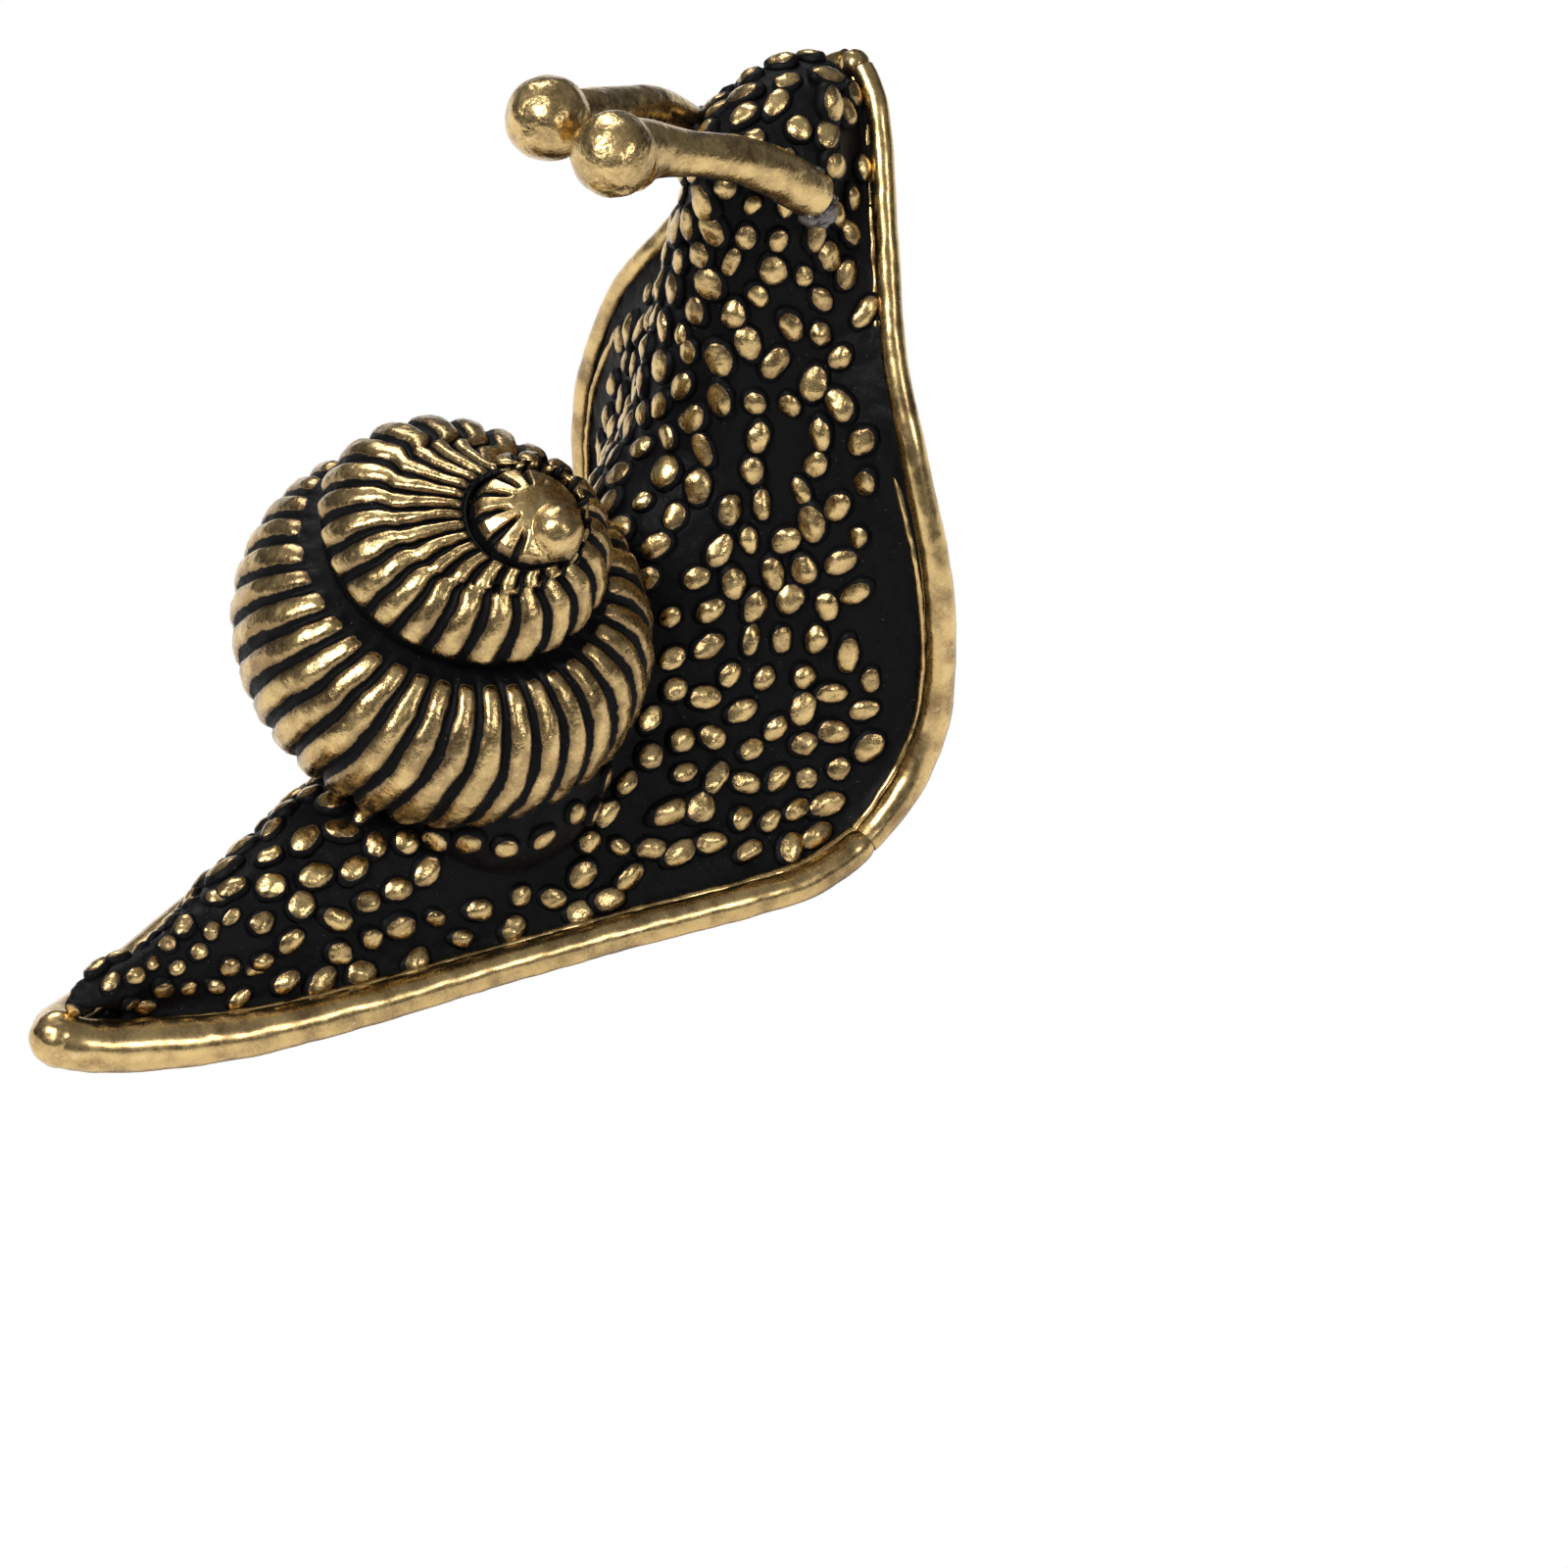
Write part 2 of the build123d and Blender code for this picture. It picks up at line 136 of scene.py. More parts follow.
# Mouth to top: outside, tube, rise and two sideways shifts, as shares, and the ribs in a turn
WHORL_ROWS = [
    (0.950, 0.460, -0.015, 0.010, 0.000, 35),
    (0.965, 0.470, -0.005, 0.000, -0.010, 35),
    (0.995, 0.485, 0.004, -0.015, -0.020, 35),
    (1.005, 0.485, 0.008, -0.015, -0.030, 35),
    (0.995, 0.475, 0.020, -0.010, -0.020, 34),
    (0.980, 0.460, 0.070, 0.005, 0.005, 32),
    (0.880, 0.420, 0.210, 0.005, 0.050, 28),
    (0.775, 0.370, 0.370, 0.000, 0.080, 24),
    (0.675, 0.325, 0.450, 0.010, 0.080, 23),
    (0.655, 0.320, 0.500, 0.040, 0.076, 23),
    (0.655, 0.315, 0.550, 0.075, 0.078, 23),
    (0.600, 0.290, 0.620, 0.110, 0.086, 23),
    (0.430, 0.208, 0.680, 0.142, 0.052, 22),
    (0.300, 0.150, 0.640, 0.160, 0.000, 20),
]
# Angles round the tube between which it shows, where no other turn lies on it
FIRST_LOW = math.radians(-78)
LAST_HIGH = math.radians(174)

# The cap that closes the coil: centre and heights in millimetres in the coil's own frame
CAP_CENTRE = (1.27, -0.44)
CAP_RADIUS = 1.96
CAP_EDGE_UP = 6.50
CAP_CROWN_UP = 7.30
# Turns from the mouth between which the dome's edge dips under the cap, and how low
CAP_EDGE_DIP = ([1.86, 2.04], [CAP_EDGE_UP, 5.2])
CAP_SKIRT_SHARE = 1.1
CAP_EDGE_DROP = 0.45
# Its short ribs: bearings in degrees between which they stand and over which they fade, the angle
# from one to the next, and the depth of their grooves
CAP_RIBS_START = 25
CAP_RIBS_END = 235
CAP_RIBS_FADE = 30
CAP_FINGER = math.radians(31)
CAP_GROOVE = 0.34
# The smooth ball on its other side, and how softly it joins the mound
CAP_BALL = (0.20, -1.06, 6.88)
CAP_BALL_RADIUS = 0.91
CAP_BALL_BLEND = 0.16
# Angle round the second turn's tube from which it is spread out as a dome
DOME_START = math.radians(65)

# Tentacles: back from, beside and over the rim's centre at the top of the head, and the radius
STALK_ROWS = [
    (11.70, 1.64, 1.55, 1.28),
    (11.00, 1.70, 1.40, 1.05),
    (9.80, 1.92, 0.95, 0.82),
    (8.40, 2.18, 0.38, 0.82),
    (7.30, 2.40, -0.16, 0.84),
    (6.30, 2.62, -0.85, 0.86),
    (5.30, 2.80, -1.72, 0.86),
    (4.65, 2.90, -2.30, 0.84),
]
FAR_STALK_RADIUS = 0.80
EYE_BACK = 12.45
EYE_SIDE = 1.6
EYE_OVER = 1.8
EYE_RADIUS = 1.45
# The casting pit in the near eye: its direction, and its width and depth as shares of the radius
PIT_WAY = Vector((-0.35, -0.78, -0.52)).normalized()
PIT_SHARES = (0.13, 0.16)
# Solder at a tentacle's root: forward, inwards, up and radius of each lump
SOLDER_LUMPS = [
    (0.10, -0.30, -0.62, 0.46),
    (-0.45, -0.25, -0.55, 0.38),
    (0.5, -0.1, -0.35, 0.36),
    (0.2, 0.1, 0.65, 0.3),
]

# Skin: half-size of the swelling under the shell, and the fillet beside the rim, in shares of
# the rim's bead: its radius, its way inwards and up the back, and its least height
MANTLE_HALF_SIZE = (3.9, 3.6, 3.4)
FILLET_SHARES = (0.62, 0.75, 0.05, 0.7)
# Width and height of the wear beside the rim
WEAR_WIDTH = 0.22
WEAR_CROWN = 0.34
# The bare patch round the shell reaches less far down than sideways
BARE_DOWN_SHARE = 1.9

# Grains: points tried on a square millimetre, and the height of the lumps on the grains
GRAIN_DENSITY = 14.0
GRAIN_LUMPS = 0.30
# Where the tail's batch ends and the head's begins, the head's spacing, and the tail's with its size
GRAIN_TAIL_END = -8.5
GRAIN_HEAD_START = 17.5
HEAD_SPACING_SHARE = 0.90
TAIL_SHARE = 0.72

# Rim: the bead's share of the frame's bead, the balls that close its two ends, and how much
# thinner it is at distances from the crook, where the lengths meet
RIM_FIT_SHARE = 0.995
TIP_BALL = {"tail": 0.98, "neck": 0.52}
CROOK_STEPS = {"tail": ([0.0, 0.12, 0.45], [0.80, 0.93, 1.0]), "neck": ([0.0, 0.15, 1.6], [0.86, 0.89, 1.0])}
# The strand's way inwards and up the back, in shares of the bead
STRAND_IN_SHARE = 0.70
STRAND_OVER_SHARE = 0.66
# The neck's strand leaves the bead: heights, how far it stands inwards there, and how it sinks
STRAND_SPREAD = ([7.0, 11.0, 14.5, 19.0], [0.0, 0.25, 0.5, 0.1])
STRAND_SINK_SHARE = 0.3

# Stage: lamps as bearing and height in degrees, distance and size in metres, and watts
LAMPS = {
    "key": (-85, 52, 0.55, 0.24, 3.2),
    "fill": (5, 30, 0.60, 0.14, 0.75),
    "rim": (150, 45, 0.55, 0.20, 1.2),
}
LAMP_AIM = Vector((0.002, 0.0, 0.011))
CAMERA_BEARING = -42.8
CAMERA_HEIGHT = 32.8
PIXELS_PER_MM = 29.6
FRAME_PIXELS = 1600
CROOK_PIXEL = (777, 747)
FLOOR_HALF = 0.6


class Sock:
    """A value in a node tree. Arithmetic on it adds Math nodes."""

    def __init__(self, kit, socket):
        self.kit = kit
        self.socket = socket

    def out(self, key):
        """Another output of the same node."""
        return Sock(self.kit, self.socket.node.outputs[key])

    def __neg__(self):
        return self * -1.0


def arithmetic(operation, swapped):
    """A method of Sock that adds the Math node for one operator."""

    def method(self, other):
        return self.kit.math(operation, *((other, self) if swapped else (self, other)))

    return method


OPERATIONS = {"add": "ADD", "sub": "SUBTRACT", "mul": "MULTIPLY", "truediv": "DIVIDE", "pow": "POWER"}
for word, operation in OPERATIONS.items():
    setattr(Sock, f"__{word}__", arithmetic(operation, False))
    setattr(Sock, f"__r{word}__", arithmetic(operation, True))


class Kit:
    """Adds nodes to one tree, for shaders and for Geometry Nodes alike."""

    def __init__(self, tree):
        self.tree = tree

    def node(self, kind, inputs=None, output=0, **settings):
        """One node: its settings first, then the values or links of its sockets."""
        made = self.tree.nodes.new(kind)
        for key, value in settings.items():
            setattr(made, key, value)
        for key, value in (inputs or {}).items():
            for one in value if isinstance(value, list) else [value]:
                if isinstance(one, Sock):
                    self.tree.links.new(one.socket, made.inputs[key])
                else:
                    made.inputs[key].default_value = one
        return Sock(self, made.outputs[output]) if made.outputs else made

    def math(self, operation, *values):
        return self.node("ShaderNodeMath", dict(enumerate(values)), operation=operation)

    def vector(self, operation, *values, output=0):
        return self.node("ShaderNodeVectorMath", dict(enumerate(values)), output, operation=operation)

    def plus(self, one, other):
        return self.vector("ADD", one, other)

    def minus(self, one, other):
        return self.vector("SUBTRACT", one, other)

    def scaled(self, vector, factor):
        return self.node("ShaderNodeVectorMath", {0: vector, 3: factor}, operation="SCALE")

    def dot(self, one, other):
        return self.vector("DOT_PRODUCT", one, other, output=1)

    def xyz(self, x=0.0, y=0.0, z=0.0):
        return self.node("ShaderNodeCombineXYZ", {0: x, 1: y, 2: z})

    def part(self, vector, number):
        """The x, y or z of a vector, by its number."""
        return self.node("ShaderNodeSeparateXYZ", {0: vector}, number)

    def smooth(self, value, low, high, start=0.0, end=1.0):
        """Goes from start to end as value goes from low to high, without a corner."""
        span = {0: value, 1: low, 2: high, 3: start, 4: end}
        return self.node("ShaderNodeMapRange", span, interpolation_type="SMOOTHSTEP")

    def noise(self, where, scale, detail=2.0, roughness=0.5):
        return self.node("ShaderNodeTexNoise", {0: where, 2: scale, 3: detail, 4: roughness})

    def blend(self, factor, one, other):
        """Mix of two colours."""
        values = [v if isinstance(v, Sock) else (*v, 1.0) for v in (one, other)]
        return self.node("ShaderNodeMix", {0: factor, 6: values[0], 7: values[1]}, 2, data_type="RGBA")


def empty_kit(owner):
    """The emptied node tree of a material or a world."""
    owner.use_nodes = True
    owner.node_tree.nodes.clear()
    return Kit(owner.node_tree)


class GeometryTree(Kit):
    """A Geometry Nodes tree with named inputs. Lengths in it are millimetres."""

    def __init__(self, name, inputs):
        super().__init__(bpy.data.node_groups.new(name, "GeometryNodeTree"))
        sockets = self.tree.interface
        sockets.new_socket(name="Geometry", in_out="INPUT", socket_type="NodeSocketGeometry")
        for label, value in inputs.items():
            kind = "NodeSocketInt" if isinstance(value, int) else "NodeSocketFloat"
            sockets.new_socket(name=label, in_out="INPUT", socket_type=kind).default_value = value
        sockets.new_socket(name="Material", in_out="INPUT", socket_type="NodeSocketMaterial")
        sockets.new_socket(name="Geometry", in_out="OUTPUT", socket_type="NodeSocketGeometry")
        self.entry = self.node("NodeGroupInput")
        self.position = self.node("GeometryNodeInputPosition")
        self.normal = self.node("GeometryNodeInputNormal")

    def given(self, name):
        return self.entry.out(name)

    def read(self, name, data_type="FLOAT"):
        """A named value on the points."""
        return self.node("GeometryNodeInputNamedAttribute", {0: name}, data_type=data_type)

    def store(self, geometry, name, value):
        """Keeps a number under a name on the points of a geometry."""
        return self.node("GeometryNodeStoreNamedAttribute", {0: geometry, 2: name, 3: value})

    def moved(self, geometry, offset):
        return self.node("GeometryNodeSetPosition", {0: geometry, 3: offset})

    def line(self):
        """The edges of the given mesh as a curve."""
        return self.node("GeometryNodeMeshToCurve", {0: self.given("Geometry")})

    def tube(self, curve):
        """A round tube along a curve, closed at its ends, as thick as the radius on its points."""
        ring = self.node("GeometryNodeCurvePrimitiveCircle", {0: self.given("Sides"), 4: 1.0})
        return self.node("GeometryNodeCurveToMesh", {0: curve, 1: ring, 2: self.read("radius"), 3: True})

    def finish(self, geometry):
        """Ends the tree with a plain smooth mesh in metres, with its material."""
        scaled = self.node("GeometryNodeTransform", {0: geometry, 3: (MM, MM, MM)})
        smooth = self.node("GeometryNodeSetShadeSmooth", {0: scaled})
        real = self.node("GeometryNodeRealizeInstances", {0: smooth})
        dressed = self.node("GeometryNodeSetMaterial", {0: real, 2: self.given("Material")})
        self.node("NodeGroupOutput", {0: dressed})
        return self.tree


def link(obj):
    bpy.context.scene.collection.objects.link(obj)
    return obj


def mesh_object(name, mesh):
    return link(bpy.data.objects.new(name, mesh))


def mesh_from(work, name):
    """Ends the work on a bmesh and gives its mesh."""
    mesh = bpy.data.meshes.new(name)
    work.to_mesh(mesh)
    work.free()
    return mesh


def vertex_arrays(mesh):
    """A mesh's points and normals, both read before anything is moved."""
    arrays = []
    for key in ("co", "normal"):
        values = np.empty(len(mesh.vertices) * 3, np.float32)
        mesh.vertices.foreach_get(key, values)
        arrays.append(values.reshape(-1, 3).astype(float))
    return arrays


def move_points(mesh, places):
    """Moves a mesh's points to their places, none of them under the ground."""
    places[:, 2] = np.maximum(places[:, 2], 0.0)
    mesh.vertices.foreach_set("co", places.astype(np.float32).ravel())


def grounded(obj):
    """Keeps a finished piece from dipping under the ground."""
    move_points(obj.data, vertex_arrays(obj.data)[0])


def roughen(mesh, rough):
    """Moves each point outwards by what rough gives for its place."""
    places, normals = vertex_arrays(mesh)
    heights = [rough(place) for place in map(Vector, places)]
    move_points(mesh, places + normals * np.array(heights)[:, None])


def store_values(mesh, name, values):
    """Keeps a number or a vector for each point of a mesh, for trees and materials to read."""
    values = np.asarray(values, np.float32)
    vector = values.ndim == 2
    layer = mesh.attributes.new(name, "FLOAT_VECTOR" if vector else "FLOAT", "POINT")
    layer.data.foreach_set("vector" if vector else "value", values.ravel())


def line_object(name, points, **values):
    """A chain of edges through points, with values on them for a tree to read."""
    mesh = bpy.data.meshes.new(name)
    mesh.from_pydata([tuple(p) for p in points], [(i, i + 1) for i in range(len(points) - 1)], [])
    for key, array in values.items():
        store_values(mesh, key, array)
    return mesh_object(name, mesh)


def plain(obj):
    """Replaces an object's mesh by what its modifiers make of it, and removes them."""
    depsgraph = bpy.context.evaluated_depsgraph_get()
    made = bpy.data.meshes.new_from_object(
        obj.evaluated_get(depsgraph), preserve_all_data_layers=True, depsgraph=depsgraph
    )
    obj.modifiers.clear()
    obj.data = made
    made.name = obj.name
    return obj


def melt(obj, voxel, factor, rounds):
    """Fuses the forms of a piece into one skin and softens it."""
    remesh = obj.modifiers.new("voxels", "REMESH")
    remesh.mode = "VOXEL"
    remesh.voxel_size = voxel
    relax = obj.modifiers.new("relax", "SMOOTH")
    relax.factor = factor
    relax.iterations = rounds
    return plain(obj)


def run_tree(obj, tree, material, **values):
    """Runs a tree on an object, with inputs by name, and leaves a plain mesh."""
    modifier = obj.modifiers.new("shape", "NODES")
    modifier.node_group = tree
    values = {key.replace("_", " "): value for key, value in values.items()}
    values["Material"] = material
    for item in tree.interface.items_tree:
        if item.in_out == "INPUT" and item.name in values:
            modifier[item.identifier] = values[item.name]
    obj.update_tag()
    return plain(obj)


def join(objects):
    """Joins objects into the first one."""
    bpy.context.view_layer.update()
    with bpy.context.temp_override(
        active_object=objects[0], selected_objects=objects, selected_editable_objects=objects
    ):
        bpy.ops.object.join()
    return objects[0]


def finished(obj, material):
    """Turns a piece modelled in millimetres into metres and gives it its material."""
    obj.data.transform(Matrix.Scale(MM, 4))
    obj.data.materials.clear()
    obj.data.materials.append(material)
    obj.data.shade_smooth()
    return obj


def cast_ball(name, centre, radius, subdivisions, material, sunk, crown):
    """A ball that isn't quite round. sunk gives how deep it is in a direction, as a share of its
    radius, and crown how polished it is at that depth."""
    work = bmesh.new()
    bmesh.ops.create_icosphere(work, subdivisions=subdivisions, radius=1.0)
    crowns = []
    for vertex in work.verts:
        way = vertex.co.normalized()
        depth = max(sunk(way), 0.0)
        vertex.co = centre + way * (radius * (1 - depth))
        crowns.append(crown(depth))
    mesh = mesh_from(work, name)
    store_values(mesh, "crown", crowns)
    return finished(mesh_object(name, mesh), material)


def smooth_rows(rows, count):
    """Rows of a table made count rows, on a smooth curve through them."""
    rows = np.asarray(rows, float)
    padded = np.vstack([2 * rows[0] - rows[1], rows, 2 * rows[-1] - rows[-2]])
    place = np.linspace(0, len(rows) - 1, count)
    first = np.minimum(place.astype(int), len(rows) - 2)
    t = (place - first)[:, None]
    a, b, c, d = (padded[first + k] for k in range(4))
    return b + 0.5 * t * (c - a + t * (2 * a - 5 * b + 4 * c - d + t * (3 * b - a - 3 * c + d)))


def unit(vectors):
    """Rows of vectors made one long."""
    return vectors / np.linalg.norm(vectors, axis=1)[:, None]


def shell_lean():
    """The turn from the coil's own frame, with its axis upright, to how it lies on the back."""
    return Matrix.Rotation(SHELL_SIDE_LEAN, 4, "X") @ Matrix.Rotation(-SHELL_BACK_LEAN, 4, "Y")


def back_direction(point):
    """Unit step from the foot's centre line towards the snail's back."""
    if point[2] >= FAN_HEIGHT:
        return np.array([-1.0, 0.0, 0.0])
    step = np.array([SOLE_MIDDLE - FAN_REACH - point[0], 0.0, FAN_HEIGHT - point[2]])
    return step / np.linalg.norm(step)


def foot_rows():
    """The rim's centre line on the left as (x, y, z, bead, bare), and how many rows are the tail's."""
    tip_bead = TIP_BEAD_SHARE * RIM_RADIUS
    tip_up = tip_bead + TIP_LIFT_SHARE * TAIL_LIFT
    rows = [(SOLE_MIDDLE - TAIL_REACH, 0, tip_up, tip_bead, TAIL_ROWS[0][4])]
    for along, lift, wide, bead, bare, *_ in TAIL_ROWS:
        up = bead * RIM_RADIUS - RIM_PRESS + lift * TAIL_LIFT
        rows.append((SOLE_MIDDLE - along * TAIL_REACH, wide, up, bead, bare))
    tail = len(rows)
    for turn, wide, bead, bare, *_ in CROOK_ROWS:
        angle = math.radians(90 * turn)
        forward = SOLE_MIDDLE - CROOK_RADIUS * (1 - math.sin(angle))
        up = RIM_RADIUS - RIM_PRESS + CROOK_RADIUS * (1 - math.cos(angle))
        rows.append((forward, wide, up, bead, bare))
    for up, lean, wide, bead, bare, *_ in NECK_ROWS:
        rows.append((SOLE_MIDDLE + lean * HEAD_LEAN, wide, up * NECK_REACH, bead, bare))
    rows.append((SOLE_MIDDLE + HEAD_LEAN, 0, NECK_REACH, HEAD_BEAD_SHARE, NECK_ROWS[-1][4]))
    rows = np.array(rows, float)
    rows[:, 1] *= FOOT_HALF_WIDTH
    rows[1:, 3] *= RIM_RADIUS
    return rows, tail


def body_sections():
    """Cross-sections of the body from tail to head: x, z, half-width, sole, edge, depth, fullness."""
    tip_up = TIP_BEAD_SHARE * RIM_RADIUS
    ends = []
    for reach, lift, *row in TIP_ROWS:
        ends.append((SOLE_MIDDLE - reach * TAIL_REACH, tip_up + lift * TAIL_LIFT, *row))
    for up, lean, *row in CROWN_ROWS:
        ends.append((SOLE_MIDDLE + lean * HEAD_LEAN, up * NECK_REACH, *row))
    closed = []
    for x, z, wide, sole, rise, full in ends:
        edge = (sole + RIM_END_SHARE) * RIM_RADIUS
        closed.append((x, z, wide * FOOT_HALF_WIDTH, sole * RIM_RADIUS, edge, edge + rise * BODY_DEPTH, full))
    open_rows = []
    centre_line, _ = foot_rows()
    shares = [row[-3:] for row in TAIL_ROWS + CROOK_ROWS + NECK_ROWS]
    for (x, y, z, bead, _), (sole, depth, full) in zip(centre_line[1:-1], shares):
        if depth:
            inside = y - INSET_SHARE * bead - SEAM_GAP
            row = (x, z, inside, sole * RIM_RADIUS, EDGE_SHARE * bead, depth * BODY_DEPTH, full)
            open_rows.append(row)
    tips = len(TIP_ROWS)
    return np.array(closed[:tips] + open_rows + closed[tips:])


def body_mesh(stations=220, across=72):
    """The bare body as rings of points across it, closed at both ends."""
    points = []
    for x, z, half_width, sole, edge, depth, full in smooth_rows(body_sections(), stations):
        rise = depth - edge
        waist = full * half_width
        flank = [
            (half_width, edge),
            ((half_width + waist) / 2, edge + LOW_SHARE * rise),
            (waist, edge + rise / 2),
            (BROW_SHARE * waist, edge + HIGH_SHARE * rise),
        ]
        outline = smooth_rows(flank + [(0.0, depth)] + [(-y, h) for y, h in reversed(flank)], across)
        outline = list(outline) + [(-half_width, sole), (half_width, sole)]
        back = back_direction((x, 0, z))
        points += [(x + back[0] * h, y, z + back[2] * h) for y, h in outline]
    ring = across + 2
    faces = [tuple(range(ring)), tuple(reversed(range((stations - 1) * ring, stations * ring)))]
    for first in range(0, (stations - 1) * ring, ring):
        for i in range(ring):
            j = (i + 1) % ring
            faces.append((first + i, first + ring + i, first + ring + j, first + j))
    mesh = bpy.data.meshes.new("snail_skin")
    mesh.from_pydata(points, [], faces)
    return mesh


def rim_side(side, steps_per_row=10):
    """One side's whole rim as dense rows, and the index where the neck's length begins."""
    rows, tail = foot_rows()
    dense = smooth_rows(rows, (len(rows) - 1) * steps_per_row + 1)
    dense[0, 1] = dense[-1, 1] = 0.0
    dense[:, 1] *= side
    return dense, tail * steps_per_row


def crossways(points):
    """For points along the rim: unit steps to the inside of the foot and to the back."""
    ahead = unit(np.gradient(points, axis=0))
    back = np.array([back_direction(p) for p in points])
    back = unit(back - (back * ahead).sum(1)[:, None] * ahead)
    inside = np.cross(ahead, back)
    toward = points * (0, -1, 0)
    turn = np.sign((inside * toward).sum(1))
    turn[turn == 0] = 1
    return inside * turn[:, None], back


def rim_lengths(part):
    """The tail's or the neck's rim on the right and the left, as points, beads, inside and back."""
    lengths = []
    for side in (-1, 1):
        dense, split = rim_side(side)
        points = dense[:, :3]
        inside, back = crossways(points)
        pick = slice(0, split + 1) if part == "tail" else slice(split, None)
        lengths.append([points[pick], dense[pick, 3], inside[pick], back[pick]])
    return lengths


# Materials

BUMP_HEIGHT = 0.00012
# grey of the painted glints: specks on the black patina that stand for glints of its rough surface
PAINTED_GLINT_GREY = (0.20, 0.19, 0.19)


def finish_material(name, look, grain=1.0, wear=1.0):
    """Worn patina over brass. The crown attribute is 0 in dark hollows and 1 on polished tops; on the rims'
    inward side a low crown is partly painted shade.
    """
    material = bpy.data.materials.new(name)
    kit = empty_kit(material)
    where = kit.node("ShaderNodeTexCoord").out("Object")
    height = kit.node("ShaderNodeAttribute", attribute_name="crown").out("Fac")
    # patterns from coarse to fine, in repeats to the metre
    patch = kit.noise(where, 700.0, 3.0, 0.6)
    hammer = kit.noise(where, 1500.0)
    mottle = kit.noise(where, 2600.0, 4.0, 0.7)
    speck = kit.noise(where, 9000.0, 2.0, 0.7)
    worn = height + ((mottle - 0.5) * 0.55 + (patch - 0.5) * 0.30) * wear
    brass = kit.smooth(worn, look.patina_edge, look.patina_edge + 0.16)
    bright = kit.smooth(worn + (patch - 0.5) * 0.9 + (speck - 0.5) * 0.4, 0.55, 1.15)
    rubbed = kit.smooth(mottle + (speck - 0.5) * 0.6, 0.60, 0.78, 0.0, 0.25)
    tone = kit.blend(rubbed, kit.blend(bright, look.brown, look.brass), look.pale)
    # painted glints: where the finest noise is high, the patina turns partly grey
    dark = kit.blend(kit.smooth(speck, 0.70, 0.78, 0.0, 0.6), look.patina, PAINTED_GLINT_GREY)
    relief = hammer * 1.1 + mottle * 0.45 + speck * 0.16
    bump = kit.node("ShaderNodeBump", {"Strength": 0.5, "Distance": BUMP_HEIGHT * grain, "Height": relief})
    finish = {
        "Base Color": kit.blend(brass, dark, tone),
        "Metallic": kit.smooth(brass, 0.2, 1.0),
        "Roughness": kit.smooth(brass, 0.0, 1.0, 0.52, look.brass_roughness) + (mottle - 0.5) * 0.28,
        "Specular IOR Level": 0.08,
        "Normal": bump,
    }
    kit.node("ShaderNodeOutputMaterial", {0: kit.node("ShaderNodeBsdfPrincipled", finish)})
    return material


# Property groups


def colour(name, description, default):
    return bpy.props.FloatVectorProperty(name=name, description=description, subtype="COLOR", default=default)


def length(name, description, default):
    return bpy.props.FloatProperty(name=name, description=description, unit="LENGTH", default=default)


def share(name, description, default):
    return bpy.props.FloatProperty(
        name=name, description=description, subtype="FACTOR", default=default, min=0, max=1
    )


class SnailFinish(bpy.types.PropertyGroup):
    """Colours and polish of the casting"""

    patina: colour("Patina", "Black patina in the hollows", (0.0028, 0.0026, 0.0031))
    brown: colour("Brown brass", "Brass that is dull", (0.23, 0.150, 0.070))
    brass: colour("Brass", "Polished brass", (0.60, 0.425, 0.185))
    pale: colour("Pale brass", "Rubbed spots", (0.84, 0.73, 0.52))
    solder: colour("Solder", "Grey solder", (0.15, 0.135, 0.13))
    brass_roughness: share("Brass roughness", "Roughness of polished brass", 0.27)
    patina_edge: share("Patina edge", "How far up the tops the patina reaches", 0.42)


class SnailSkin(bpy.types.PropertyGroup):
    """Sizes of the body's skin"""

    voxel: length("Voxel", "Size of a face of the skin", 0.00017)
    roughness: length("Casting roughness", "Height of the skin's unevenness", 0.00006)


class SnailGrains(bpy.types.PropertyGroup):
    """Raised grains on the skin"""

    length: length("Length", "Length of a grain", 0.00128)
    width: length("Width", "Width of a grain", 0.00100)
    height: length("Height", "How far a grain stands out", 0.00034)
    spacing: length("Spacing", "Least distance between grains", 0.00109)


class SnailShell(bpy.types.PropertyGroup):
    """Ribs of the shell"""

    groove: length("Groove", "Depth of the grooves between the ribs", 0.00036)
    lag: bpy.props.FloatProperty(
        name="Lag", description="Ribs that a rib's outer end lags behind its inner end", default=0.9
    )
    ring_sides: bpy.props.IntProperty(name="Sides", description="Points round the tube", default=80, min=12)


class SnailRim(bpy.types.PropertyGroup):
    """The polished bead round the foot"""

    dent: length("Dent", "Depth of the hammered dents", 0.00003)
    strand: length("Strand", "Radius of the thin inner strand", 0.00017)


class SnailStage(bpy.types.PropertyGroup):
    """Camera, lamps and floor"""

    camera_distance: length("Camera distance", "Camera to the crook", 0.4)
    floor: colour("Floor", "Colour of the floor", (0.93, 0.93, 0.93))


# Sweeps: rims, fillets, strands and tentacles


